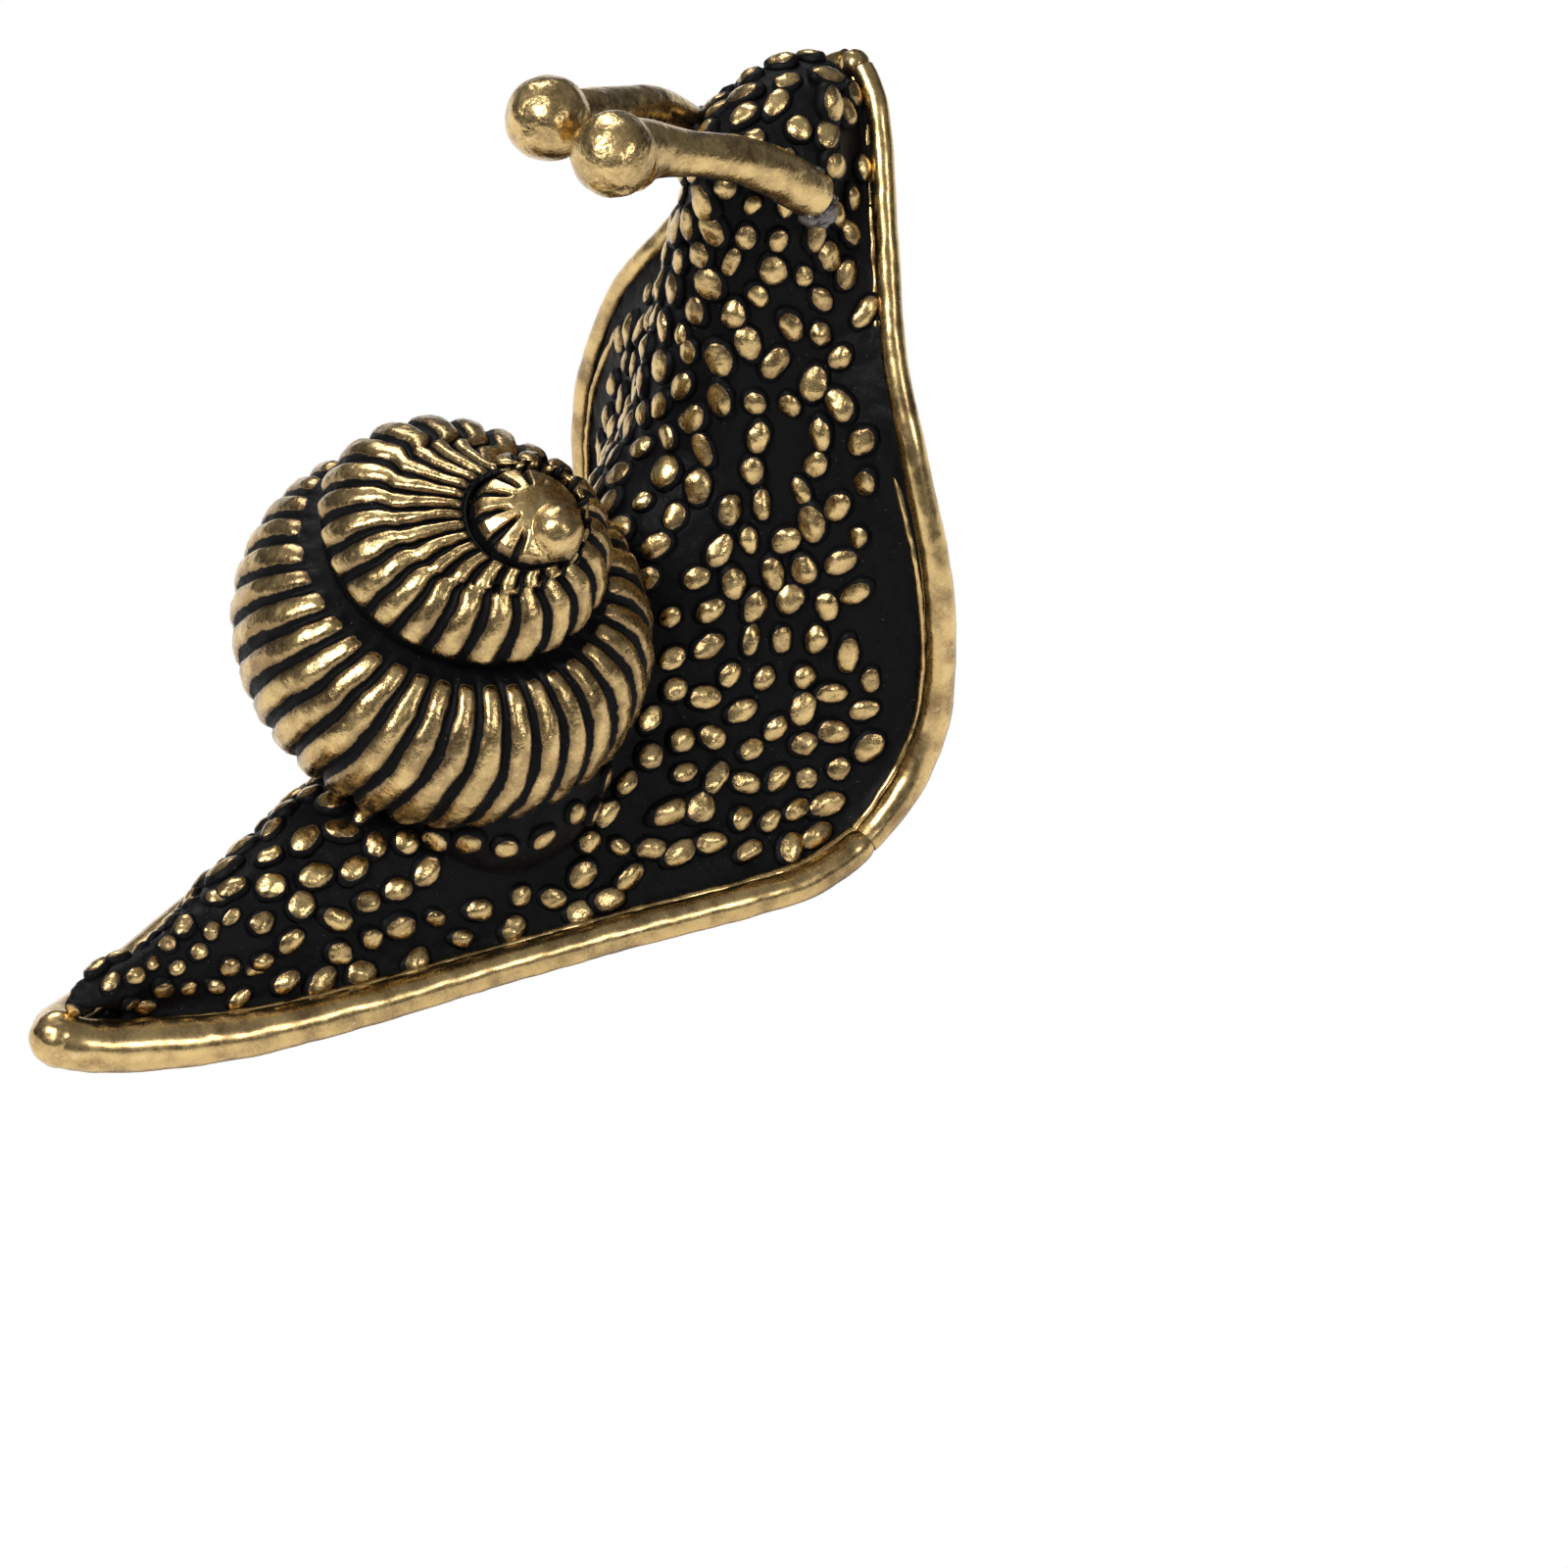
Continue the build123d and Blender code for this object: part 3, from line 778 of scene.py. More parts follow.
def sweep_tree():
    """A round section along a line, with dents pressed into it."""
    dents = {"Dent Depth": 0.07, "Dent Size": 1.1, "Grain Depth": 0.006}
    tree = GeometryTree("dented sweep", {"Step": 0.12, "Sides": 28, **dents, "Seed": 1.0})
    curve = tree.node("GeometryNodeResampleCurve", {0: tree.line(), 3: tree.given("Step")}, mode="LENGTH")
    tube = tree.tube(curve)
    where = tree.plus(tree.position, tree.xyz(z=tree.given("Seed") * 13.7))
    dents = tree.smooth(tree.noise(where, 1.0 / tree.given("Dent Size")), 0.35, 0.7)
    depth = dents * tree.given("Dent Depth") + tree.noise(where, 5.0) * tree.given("Grain Depth")
    tube = tree.moved(tube, tree.scaled(tree.normal, -depth))
    # the side turned to inside gets a low crown and is painted dark: on the rims partly patina, partly
    # painted shade in the crease beside the bead
    hidden = tree.dot(tree.normal, tree.vector("NORMALIZE", tree.read("inside", "FLOAT_VECTOR")))
    crown = tree.smooth(hidden, 0.45, 0.95, 1.0, 0.0) * (1.05 - dents * 0.3)
    return tree.finish(tree.store(tube, "crown", crown))


def sweep(name, points, radius, inside, material, **values):
    """A dented tube through points. The side that inside points to stays dark; on the rim's bead and strand
    this is partly patina and partly painted shade in the crease they face.
    """
    line = line_object(name, points, radius=radius, inside=inside)
    tree = bpy.data.node_groups.get("dented sweep") or sweep_tree()
    return run_tree(line, tree, material, **values)


# Operators


class SNAIL_OT_skin(bpy.types.Operator):
    """Skin of the body, with the mantle under the shell and the fillets beside the rim"""

    bl_idname = "snail.skin"
    bl_label = "Body skin"

    def execute(self, context):
        options = context.scene.snail_skin
        body = mesh_object("snail_skin", body_mesh())
        fillets = [self.fillet(*one) for one in rim_lengths("tail") + rim_lengths("neck")]
        mantle = Matrix.Translation(MANTLE_CENTRE) @ Matrix.Diagonal((*MANTLE_HALF_SIZE, 1))
        work = bmesh.new()
        work.from_mesh(body.data)
        bmesh.ops.create_uvsphere(work, u_segments=64, v_segments=32, radius=1.0, matrix=mantle)
        for fillet in fillets:
            work.from_mesh(fillet.data)
            bpy.data.objects.remove(fillet)
        work.to_mesh(body.data)
        work.free()
        melt(body, voxel=options.voxel / MM, factor=0.6, rounds=6)
        height = options.roughness / MM

        def cast(place):
            return (noise.fractal(place * 1.3, 0.9, 2.0, 3) + 0.5 * noise.noise(place * 4.0)) * height

        roughen(body.data, cast)
        self.mark(body.data)
        finished(body, finish_material("skin_patina", context.scene.snail_finish))
        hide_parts("snail_body")
        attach(body, "root")
        return {"FINISHED"}

    def fillet(self, points, bead, inside, back):
        """A smooth round in the corner between the rim's bead and the body, in millimetres."""
        radius, inwards, over, least = FILLET_SHARES
        way = points + inside * (bead * inwards)[:, None] + back * (bead * over)[:, None]
        way[:, 2] = np.maximum(way[:, 2], bead * least)
        fillet = sweep("fillet", way, bead * radius, inside, None, Dent_Depth=0.0, Grain_Depth=0.0)
        fillet.data.transform(Matrix.Scale(1 / MM, 4))
        return fillet

    def mark(self, mesh):
        """Stores where grains grow, and a crown of zero except for some wear beside the rim."""
        points, normals = vertex_arrays(mesh)
        rims = np.concatenate([rim_side(side)[0] for side in (-1, 1)])
        tree = KDTree(len(rims))
        for i, row in enumerate(rims):
            tree.insert(row[:3], i)
        tree.balance()
        found = [tree.find(point)[1:] for point in points]
        rows = np.array([row for row, _ in found])
        off_bead = np.array([distance for _, distance in found]) - rims[rows, 3]
        crown = np.maximum(0.0, 1.0 - off_bead / WEAR_WIDTH) * WEAR_CROWN
        off_shell = (points - np.array(SHELL_CENTRE)) @ np.array(shell_lean().to_3x3())
        off_shell[:, 2] = np.minimum(off_shell[:, 2], 0.0) * BARE_DOWN_SHARE
        off_shell = np.linalg.norm(off_shell, axis=1) - SHELL_RADIUS
        facing = (normals * np.array([back_direction(p) for p in points])).sum(1)
        # no grains beside the rim, on the underside and close to the shell
        rim_fade, facing_least, facing_fade, shell_gap, shell_fade = 0.25, -0.5, 0.2, 0.1, 0.3
        grow = np.clip((off_bead - rims[rows, 4]) / rim_fade, 0, 1)
        grow = grow * np.clip((facing - facing_least) / facing_fade, 0, 1)
        grow = grow * np.clip((off_shell - shell_gap) / shell_fade, 0, 1)
        store_values(mesh, "grow", grow)
        store_values(mesh, "crown", crown)


class SNAIL_OT_grains(bpy.types.Operator):
    """Raised grains scattered over the skin, lengthwise along the body"""

    bl_idname = "snail.grains"
    bl_label = "Grains"

    def execute(self, context):
        skin = bpy.data.objects.get("snail_skin")
        if skin is None:
            raise RuntimeError("the grains need the skin, so it comes first")
        options = context.scene.snail_grains
        material = finish_material("grain_brass", context.scene.snail_finish, 1.0, 1.45)
        sizes = {key.title(): getattr(options, key) / MM for key in ("spacing", "length", "width", "height")}
        tree = self.tree()
        grains = run_tree(mesh_object("skin_grains", skin.data.copy()), tree, material, Seed=7, **sizes)
        grounded(grains)
        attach(grains, "root")
        return {"FINISHED"}

    def tree(self):
        """Three batches of grains: finer towards the tip of the tail, closer together on the head."""
        sizes = {"Spacing": 1.2, "Length": 1.2, "Width": 0.9, "Height": 0.34, "Seed": 7}
        tree = GeometryTree("skin grains", sizes)
        skin = tree.node("GeometryNodeTransform", {0: tree.given("Geometry"), 3: (1 / MM,) * 3})
        tail = tree.math("LESS_THAN", tree.part(tree.position, 0), GRAIN_TAIL_END)
        head = tree.math("GREATER_THAN", tree.part(tree.position, 2), GRAIN_HEAD_START)
        batches = []
        middle = 1.0 - tail - head
        kinds = ((middle, 1.0, 1.0), (head, HEAD_SPACING_SHARE, 1.0), (tail, TAIL_SHARE, TAIL_SHARE))
        for number, (chosen, spacing_share, share) in enumerate(kinds):
            spread = tree.node(
                "GeometryNodeDistributePointsOnFaces",
                {
                    0: skin,
                    1: chosen,
                    2: tree.given("Spacing") * spacing_share,
                    3: GRAIN_DENSITY,
                    5: tree.read("grow"),
                    6: tree.given("Seed") + float(number),
                },
                distribute_method="POISSON",
            )
            batches.append(self.batch(tree, spread, share, number))
        joined = tree.node("GeometryNodeJoinGeometry", {0: batches})
        real = tree.node("GeometryNodeRealizeInstances", {0: joined})
        lumps = (tree.noise(tree.position, 1.5) - 0.5) * GRAIN_LUMPS
        return tree.finish(tree.moved(real, tree.scaled(tree.normal, lumps)))

    def batch(self, tree, spread, share, number):
        """Grains on one batch of points: a low dome, turned to the body's length."""

        def random(low, high, seed):
            inputs = {2: low, 3: high, 8: seed + 10 * number}
            return tree.node("FunctionNodeRandomValue", inputs, 1, data_type="FLOAT")

        dome = tree.node("GeometryNodeMeshIcoSphere", {0: 0.5, 1: 3})
        dome = tree.store(dome, "crown", tree.smooth(tree.part(tree.position, 2), 0.18, 0.48))
        x, z = tree.part(tree.position, 0), tree.part(tree.position, 2)
        rise = tree.math("ARCTAN2", x - (SOLE_MIDDLE - FAN_REACH), FAN_HEIGHT - z)
        upright = tree.smooth(rise, math.radians(20), math.radians(75))
        flow = tree.xyz(1.0 - upright, 0.0, upright)
        turned = tree.node(
            "FunctionNodeAxesToRotation",
            {0: spread.out("Normal"), 1: flow},
            primary_axis="Z",
            secondary_axis="X",
        )
        twist = tree.node("FunctionNodeAxisAngleToRotation", {0: (0, 0, 1), 1: random(-0.75, 0.75, 1)})
        turned = tree.node("FunctionNodeRotateRotation", {0: turned, 1: twist}, rotation_space="LOCAL")
        size = random(0.84, 1.16, 2) * share
        scale = tree.xyz(
            size * tree.given("Length") * random(0.85, 1.25, 3),
            size * tree.given("Width") * random(0.82, 1.1, 4),
            size * tree.given("Height") * 2.0 * random(0.8, 1.15, 5),
        )
        return tree.node("GeometryNodeInstanceOnPoints", {0: spread, 2: dome, 5: turned, 6: scale})


class SNAIL_OT_shell(bpy.types.Operator):
    """Ribbed shell: a shrinking tube wound up its axis, with grooves between the ribs"""

    bl_idname = "snail.shell"
    bl_label = "Shell"

    def execute(self, context):
        options = context.scene.snail_shell
        material = finish_material("shell_brass", context.scene.snail_finish, 1.0, 0.9)
        steps_per_row = 74
        steps = steps_per_row * (len(WHORL_ROWS) - 1)
        rows = smooth_rows(WHORL_ROWS, steps + 1)
        turn = np.linspace(0, (len(WHORL_ROWS) - 1) / ROWS_PER_TURN, steps + 1)
        bearing = SHELL_BEARING + 2 * math.pi * turn
        radial = np.stack([np.cos(bearing), np.sin(bearing), 0 * bearing], 1)
        shift = np.stack([rows[:, 3], rows[:, 4], 0 * bearing], 1)
        points = (radial * (rows[:, 0] - rows[:, 1])[:, None] + shift) * SHELL_RADIUS
        points[:, 2] = rows[:, 2] * SHELL_RISE
        tube = rows[:, 1] * SHELL_RADIUS
        low, high = self.sutures(points, radial, tube, steps_per_row * ROWS_PER_TURN)
        line = line_object(
            "ribbed_shell",
            points,
            radius=tube,
            girth=tube,
            rib=np.concatenate([[0], np.cumsum(rows[1:, 5] * np.diff(turn))]),
            turn=turn,
            low=low,
            high=high,
            hub=points,
            radial=radial,
            edge=self.cap_edge(points, radial, tube, turn),
        )
        run_tree(
            line, self.tree(), material, Groove=options.groove / MM, Lag=options.lag, Sides=options.ring_sides
        )
        self.top(line)
        line.data.transform(Matrix.Translation(SHELL_CENTRE * MM) @ shell_lean())
        line.data.shade_smooth()
        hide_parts("shell")
        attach(line, "root")
        return {"FINISHED"}

    def sutures(self, points, radial, tube, steps_per_turn):
        """Angles round the tube where the next turn lies on it, and where it lies on the last one."""
        low = np.full(len(points), FIRST_LOW)
        high = np.full(len(points), LAST_HIGH)
        for i in range(steps_per_turn):
            k = i + steps_per_turn
            one, two = (np.array([points[n] @ radial[i], points[n, 2]]) for n in (i, k))
            distance = np.linalg.norm(two - one)
            along = (tube[i] ** 2 - tube[k] ** 2 + distance**2) / (2 * distance)
            aside = math.sqrt(max(tube[i] ** 2 - along**2, 0.0))
            way = (two - one) / distance
            meet = one + way * along + np.array([way[1], -way[0]]) * aside
            high[i] = math.atan2(*(meet - one)[::-1])
            low[k] = math.atan2(*(meet - two)[::-1])
        return low, high

    def cap_edge(self, points, radial, tube, turn):
        """Where the last turn, spread out as a dome, meets the cap's edge. Its end dips under."""
        start = (points + radial * (tube * math.cos(DOME_START))[:, None])[:, :2] - np.array(CAP_CENTRE)
        start *= (CAP_RADIUS / np.linalg.norm(start, axis=1))[:, None]
        return np.column_stack([start + np.array(CAP_CENTRE), np.interp(turn, *CAP_EDGE_DIP)])

    def top(self, shell):
        """Adds the cap: a mound with short ribs on one side and a smooth ball on the other."""
        work = bmesh.new()
        work.from_mesh(shell.data)
        layer = work.verts.layers.float["crown"]

        def vertex(place, crown):
            made = work.verts.new(place * MM)
            made[layer] = crown
            return made

        rings, sides = 60, 200
        rows = []
        for ring in range(1, rings + 1):
            away = CAP_SKIRT_SHARE * CAP_RADIUS * ring / rings
            row = []
            for side in range(sides):
                angle = 2 * math.pi * side / sides
                up, crown = self.cap_point(away, angle)
                x, y = CAP_CENTRE[0] + away * math.cos(angle), CAP_CENTRE[1] + away * math.sin(angle)
                place = Vector((x, y, up))
                place.z += 0.05 * noise.noise(place * 1.6)
                row.append(vertex(place, crown))
            rows.append(row)
        top = vertex(Vector((*CAP_CENTRE, self.cap_point(0.0, 0.0)[0])), 0.85)
        bottom = vertex(Vector((*CAP_CENTRE, CAP_EDGE_UP - 1.5)), 0.0)
        for i in range(sides):
            j = (i + 1) % sides
            work.faces.new((top, rows[0][i], rows[0][j]))
            work.faces.new((rows[-1][j], rows[-1][i], bottom))
            for inner, outer in zip(rows, rows[1:]):
                work.faces.new((inner[i], outer[i], outer[j], inner[j]))
        work.to_mesh(shell.data)
        work.free()

    def cap_point(self, away, angle):
        """Height and crown of the cap at a distance and a bearing from its centre."""

        def step(value, low, high):
            share = min(max((value - low) / (high - low), 0.0), 1.0)
            return share * share * (3 - 2 * share)

        degrees = math.degrees(angle)
        ribbed = step(degrees, CAP_RIBS_START, CAP_RIBS_START + CAP_RIBS_FADE)
        ribbed *= step(-degrees, -CAP_RIBS_END, CAP_RIBS_FADE - CAP_RIBS_END)
        between = abs((angle / CAP_FINGER) % 1.0 - 0.5)
        start = 0.75 + 0.3 * noise.noise(Vector((degrees / 40.0, 0.0, 3.0)))
        groove = ribbed * step(between, 0.26, 0.42) * step(away, start, start + 0.35)
        edge = step(away, CAP_RADIUS * 0.86, CAP_RADIUS)
        up = CAP_EDGE_UP + (CAP_CROWN_UP - CAP_EDGE_UP) * (1 - (away / CAP_RADIUS) ** 2)
        up -= CAP_GROOVE * groove + CAP_EDGE_DROP * edge
        crown = 0.9 * (1 - max(groove, edge))
        x, y, z = CAP_BALL
        aside = math.hypot(away * math.cos(angle) - x, away * math.sin(angle) - y)
        ball = z + math.sqrt(max(CAP_BALL_RADIUS**2 - aside**2, 0.0)) if aside < CAP_BALL_RADIUS else z - 1.0
        mix = min(max(0.5 + 0.5 * (ball - up) / CAP_BALL_BLEND, 0.0), 1.0)
        crown += (0.95 - crown) * mix
        return up + (ball - up) * mix + CAP_BALL_BLEND * mix * (1 - mix), crown

    def tree(self):
        tree = GeometryTree("ribbed coil", {"Groove": 0.36, "Lag": 1.0, "Sides": 80})
        tube = tree.tube(tree.node("GeometryNodeSetCurveNormal", {0: tree.line()}, mode="Z_UP"))
        hub, radial, edge = (tree.read(name, "FLOAT_VECTOR") for name in ("hub", "radial", "edge"))
        outward = tree.vector("NORMALIZE", tree.minus(tree.position, hub))
        # the angle round the tube is 0 outside and rises to the top
        angle = tree.math("ARCTAN2", tree.part(outward, 2), tree.dot(outward, radial))
        tube = tree.store(tube, "angle", angle)
        angle, girth = tree.read("angle"), tree.read("girth")
        # from its crest inwards the second turn is spread out as a dome that ends at the cap
        sine, cosine = math.sin(DOME_START), math.cos(DOME_START)
        start = tree.plus(hub, tree.plus(tree.scaled(radial, girth * cosine), tree.xyz(z=girth * sine)))
        span = tree.vector("LENGTH", tree.minus(edge, start), output=1) * 0.50
        bend = tree.plus(tree.plus(start, tree.scaled(radial, span * -sine)), tree.xyz(z=span * cosine))
        share = (angle - DOME_START) / (math.pi - DOME_START)
        share = tree.math("MINIMUM", tree.math("MAXIMUM", share, 0.0), 1.0)
        left = 1.0 - share
        spread = tree.plus(tree.scaled(start, left * left), tree.scaled(bend, left * share * 2.0))
        spread = tree.plus(spread, tree.scaled(edge, share * share))
        chosen = tree.smooth(tree.read("turn"), 0.98, 1.10)
        chosen = chosen * tree.smooth(angle, DOME_START, DOME_START + 0.45)
        tube = tree.moved(tube, tree.scaled(tree.minus(spread, tree.position), chosen))
        # the ribs lean, and wander a little
        wobble = (tree.noise(tree.position, 0.5, 1.0) - 0.5) * 0.38
        lean = tree.smooth(angle, 1.3, -0.8) * tree.given("Lag")
        off = tree.math("ABSOLUTE", tree.math("FRACT", tree.read("rib") + lean + wobble) - 0.5)
        crest = tree.math("MAXIMUM", 1.0 - (off / 0.43) ** 3.2, 0.0)
        below = tree.smooth(angle - tree.read("low"), 0.03, 0.22)
        over = tree.smooth(tree.read("high") - angle, 0.02, 0.2)
        crown = crest * below * over * 0.88
        depth = (1.0 - crown) * tree.given("Groove") * tree.smooth(girth, 0.4, 2.4, 0.5, 0.9)
        tube = tree.moved(tree.store(tube, "crown", crown), tree.scaled(tree.normal, -depth))
        dents = (tree.noise(tree.position, 1.7, 3.0) - 0.5) * SHELL_DENTS
        return tree.finish(tree.moved(tube, tree.scaled(tree.normal, dents)))


class SNAIL_OT_rims(bpy.types.Operator):
    """Polished beads round the foot, with the thin strand along their inner edge"""

    bl_idname = "snail.rims"
    bl_label = "Rims"

    def execute(self, context):
        options = context.scene.snail_rim
        material = finish_material("rim_brass", context.scene.snail_finish, 0.12, 0.3)
        for number, part in enumerate(("tail", "neck")):
            pieces = []
            strands = []
            tips = []
            for side, lines in enumerate(rim_lengths(part)):
                # the tip's ball closes the neck's rim a little before its end
                end = None if part == "tail" else -3
                points, bead, inside, back = (line[:end] for line in lines)
                run = np.cumsum(np.append(0.0, np.linalg.norm(np.diff(points, axis=0), axis=1)))
                from_crook = run[-1] - run if part == "tail" else run
                bead = bead * np.interp(from_crook, *CROOK_STEPS[part])
                tips.append(points[0 if part == "tail" else -1])
                look = {"Dent_Depth": options.dent / MM, "Seed": float(number * 2 + side)}
                pieces.append(sweep(part + "_bead", points, bead * RIM_FIT_SHARE, inside, material, **look))
                spread = np.interp(points[:, 2], *STRAND_SPREAD) * number
                inwards = (bead * STRAND_IN_SHARE + spread)[:, None]
                over = (bead * STRAND_OVER_SHARE - spread * STRAND_SINK_SHARE)[:, None]
                way = points + inside * inwards + back * over
                thin = np.full(len(bead), options.strand / MM)
                look = {"Dent_Depth": 0.05, "Dent_Size": 0.7, "Sides": 12}
                strands.append(sweep(part + "_strand", way, thin, -back, material, **look))
            pieces.append(self.tip(part + "_tip", (tips[0] + tips[1]) / 2, TIP_BALL[part], material))
            rim = join(pieces)
            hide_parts(part + "_rim")
            for piece in (rim, join(strands)):
                grounded(piece)
                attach(piece, "root")
        return {"FINISHED"}

    def tip(self, name, centre, radius, material):
        """The ball that closes the rim's end, where its two sides meet."""
        centre = Vector(centre)

        def sunk(way):
            depth = 0.05 * max(0.0, noise.noise(way * 2.0 + centre) + 0.35)
            return depth + 0.0125 * abs(noise.noise(way * 9.0))

        return cast_ball(name, centre, radius, 5, material, sunk, lambda depth: 0.9)


class SNAIL_OT_tentacles(bpy.types.Operator):
    """Tentacles with their ball eyes and the solder at their roots"""

    bl_idname = "snail.tentacles"
    bl_label = "Tentacles"

    def execute(self, context):
        finish = context.scene.snail_finish
        material = finish_material("stalk_brass", finish)
        head = Vector((SOLE_MIDDLE + HEAD_LEAN, 0, NECK_REACH))
        for side, name in ((-1, "right"), (1, "left")):
            rows = smooth_rows(STALK_ROWS, 60)
            points = np.stack([head.x - rows[:, 0], side * rows[:, 1], head.z + rows[:, 2]], 1)
            radius = rows[:, 3] if side < 0 else np.minimum(rows[:, 3], FAR_STALK_RADIUS)
            down = np.tile([0.0, 0.0, -1.0], (len(points), 1))
            look = {"Dent_Depth": 0.06, "Dent_Size": 2.2, "Seed": 3.0 + side}
            stalk = sweep(name + "_stalk", points, radius, down, material, **look)
            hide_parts(name + "_tentacle")
            centre = head + Vector((-EYE_BACK, side * EYE_SIDE, EYE_OVER))
            eye = self.eye(name + "_ball", centre, side, material)
            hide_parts(name + "_eye")
            for piece in (stalk, eye):
                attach(piece, "root")
        self.solder(head, finish.solder)
        return {"FINISHED"}

    def eye(self, name, centre, side, material):
        """A cast ball, not quite round, with a pit in the near one."""
        pit_width, pit_depth = PIT_SHARES

        def sunk(way):
            depth = 0.035 * max(0.0, noise.noise(way * 2.1 + Vector((side, 0, 0))) + 0.3)
            depth += 0.012 * abs(noise.noise(way * 9.0))
            if side < 0:
                away = (way - PIT_WAY).length / pit_width
                depth += pit_depth * math.exp(-(away**2)) * (0.7 + noise.noise(way * 14.0))
            return depth

        def crown(depth):
            return 0.35 + 0.6 * min(1.0, (0.14 - depth) / 0.1)

        return cast_ball(name, centre, EYE_RADIUS, 6, material, sunk, crown)

    def solder(self, head, grey):
        """Lumps of solder round each tentacle's root."""
        tones = dict.fromkeys(("patina", "brown", "brass", "pale"), grey)
        look = SimpleNamespace(**tones, patina_edge=0.2, brass_roughness=0.4)
        material = finish_material("solder_grey", look)
        back, beside, over, _ = STALK_ROWS[-1]
        for side, name in ((-1, "right"), (1, "left")):
            root = head + Vector((-back, side * beside, over))
            work = bmesh.new()
            for forward, inwards, up, radius in SOLDER_LUMPS:
                place = Matrix.Translation(root + Vector((forward, -side * inwards, up)))
                bmesh.ops.create_icosphere(work, subdivisions=3, radius=radius, matrix=place)
            lump = mesh_object(name + "_solder", mesh_from(work, name + "_solder"))
            melt(lump, voxel=0.07, factor=0.5, rounds=4)
            roughen(lump.data, lambda place: 0.10 * noise.fractal(place * 3.0, 1.0, 2.0, 2))
            store_values(lump.data, "crown", np.full(len(lump.data.vertices), 0.6))
            finished(lump, material)
            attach(lump, "root")


def way_to(bearing, height):
    """Unit step from the snail to a lamp or the camera, by its bearing and height in degrees."""
    a, e = math.radians(bearing), math.radians(height)
    return Vector((math.sin(a) * math.cos(e), -math.cos(a) * math.cos(e), math.sin(e)))


def aimed(name, data, place, back):
    """A lamp or camera at a place, looking the way that is opposite to back."""
    obj = link(bpy.data.objects.new(name, data))
    obj.location = place
    obj.rotation_euler = back.to_track_quat("Z", "Y").to_euler()
    return obj


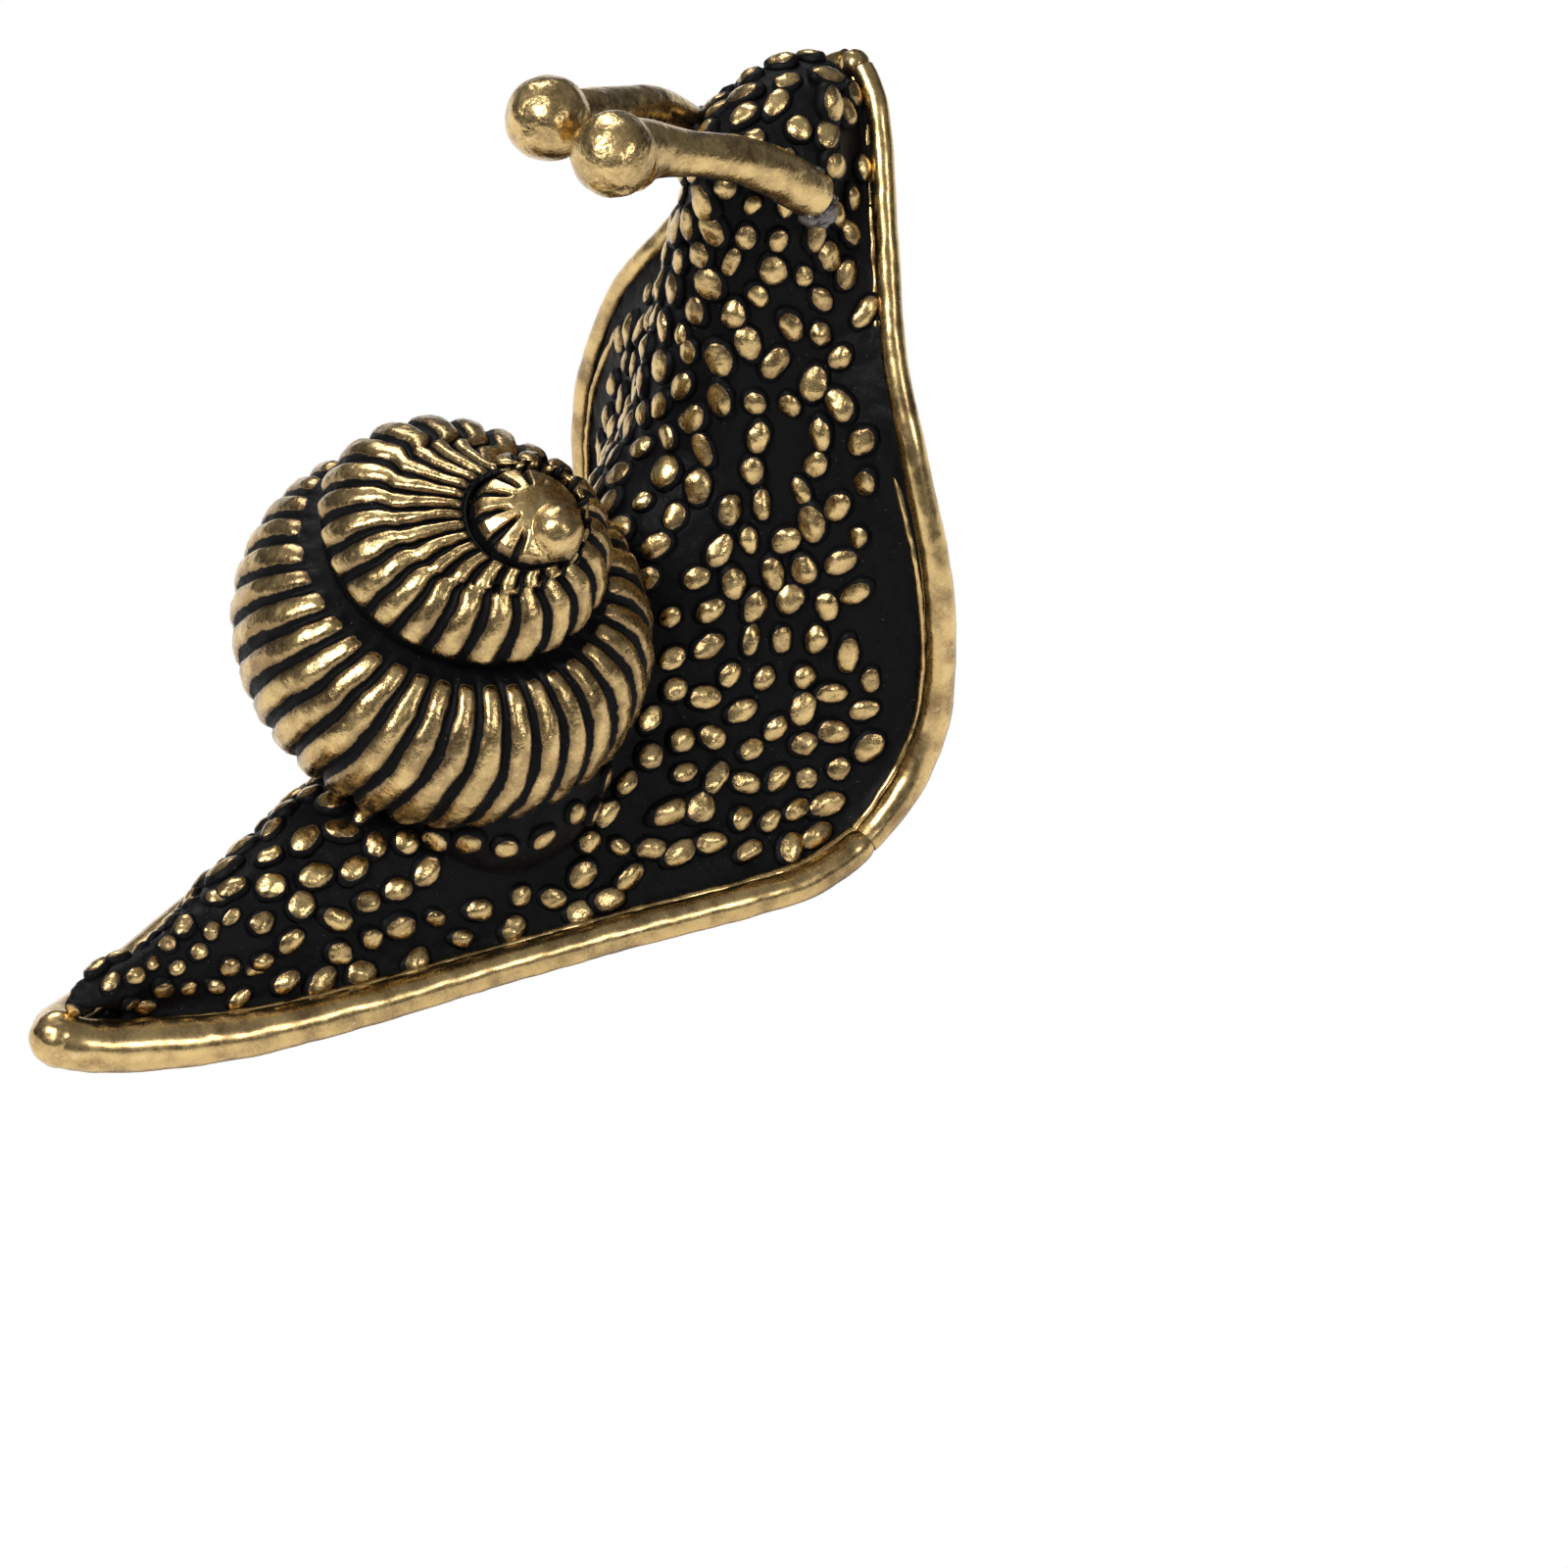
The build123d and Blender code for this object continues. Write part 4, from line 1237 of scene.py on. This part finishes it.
class SNAIL_OT_stage(bpy.types.Operator):
    """Floor, lamps, sky and the camera at the photograph's angle"""

    bl_idname = "snail.stage"
    bl_label = "Stage"

    def execute(self, context):
        scene = context.scene
        self.floor(scene.snail_stage.floor)
        scene.world = self.sky()
        for name, (bearing, height, distance, size, power) in LAMPS.items():
            lamp = bpy.data.lights.new(name, "AREA")
            lamp.size = size
            lamp.energy = power
            way = way_to(bearing, height)
            aimed(name, lamp, LAMP_AIM + way * distance, way)
        scene.camera = self.camera(scene.snail_stage.camera_distance)
        scene.view_settings.view_transform = "Standard"
        return {"FINISHED"}

    def floor(self, colour):
        """A square floor that reflects its colour on the snail and looks white to the camera."""
        corners = [(-1, -1), (1, -1), (1, 1), (-1, 1)]
        mesh = bpy.data.meshes.new("floor")
        mesh.from_pydata([(x * FLOOR_HALF, y * FLOOR_HALF, 0) for x, y in corners], [], [(0, 1, 2, 3)])
        material = bpy.data.materials.new("floor_pale")
        kit = empty_kit(material)
        matt = kit.node("ShaderNodeBsdfDiffuse", {0: (*colour, 1.0)})
        white = kit.node("ShaderNodeEmission", {0: (1.0, 1.0, 1.0, 1.0), 1: 1.0})
        seen = kit.node("ShaderNodeLightPath")
        shader = kit.node("ShaderNodeMixShader", {0: seen, 1: matt, 2: white})
        kit.node("ShaderNodeOutputMaterial", {0: shader})
        mesh.materials.append(material)
        mesh_object("floor", mesh)

    def sky(self):
        """A soft sky that is brighter overhead."""
        world = bpy.data.worlds.new("studio")
        kit = empty_kit(world)
        shade = kit.smooth(kit.part(kit.node("ShaderNodeTexCoord"), 2), -0.05, 0.9, 0.04, 0.38)
        light = kit.node("ShaderNodeBackground", {0: (0.96, 0.98, 1.0, 1.0), 1: shade})
        kit.node("ShaderNodeOutputWorld", {0: light})
        return world

    def camera(self, distance):
        """A camera that sees the crook where the photograph has it."""
        camera = bpy.data.cameras.new("photo_view")
        camera.sensor_width = 36.0
        camera.lens = PIXELS_PER_MM * distance / MM * camera.sensor_width / FRAME_PIXELS
        camera.clip_start = 0.01
        camera.clip_end = 10.0
        camera.dof.use_dof = False
        a = math.radians(CAMERA_BEARING)
        back = way_to(CAMERA_BEARING, CAMERA_HEIGHT)
        right = Vector((math.cos(a), math.sin(a), 0.0))
        up = back.cross(right)
        crook = Vector((SOLE_MIDDLE, 0, 0)) * MM
        across, down = (FRAME_PIXELS / 2 - pixel for pixel in CROOK_PIXEL)
        aim = crook + (right * across - up * down) * (MM / PIXELS_PER_MM)
        place = crook + back * distance
        return aimed("photo_view", camera, place, place - aim)


class SNAIL_PT_panel(bpy.types.Panel):
    """Sizes, colours and steps of the snail"""

    bl_idname = "SNAIL_PT_panel"
    bl_label = "Snail"
    bl_space_type = "VIEW_3D"
    bl_region_type = "UI"
    bl_category = "Snail"

    def draw(self, context):
        for name in GROUPS:
            box = self.layout.box()
            group = getattr(context.scene, name)
            for key in group.bl_rna.properties.keys():
                if key not in ("rna_type", "name"):
                    box.prop(group, key)
        for operator in OPERATORS:
            self.layout.operator(operator.bl_idname)


GROUPS = {
    "snail_finish": SnailFinish,
    "snail_skin": SnailSkin,
    "snail_grains": SnailGrains,
    "snail_shell": SnailShell,
    "snail_rim": SnailRim,
    "snail_stage": SnailStage,
}
OPERATORS = (
    SNAIL_OT_skin,
    SNAIL_OT_grains,
    SNAIL_OT_shell,
    SNAIL_OT_rims,
    SNAIL_OT_tentacles,
    SNAIL_OT_stage,
)


def register():
    for cls in (*GROUPS.values(), *OPERATORS, SNAIL_PT_panel):
        bpy.utils.register_class(cls)
    for name, cls in GROUPS.items():
        setattr(bpy.types.Scene, name, bpy.props.PointerProperty(type=cls))


def unregister():
    for name in GROUPS:
        delattr(bpy.types.Scene, name)
    for cls in reversed((*GROUPS.values(), *OPERATORS, SNAIL_PT_panel)):
        bpy.utils.unregister_class(cls)


def main():
    register()
    bpy.ops.snail.skin()
    bpy.ops.snail.grains()
    bpy.ops.snail.shell()
    bpy.ops.snail.rims()
    bpy.ops.snail.tentacles()
    bpy.ops.snail.stage()


if __name__ == "__main__":
    main()
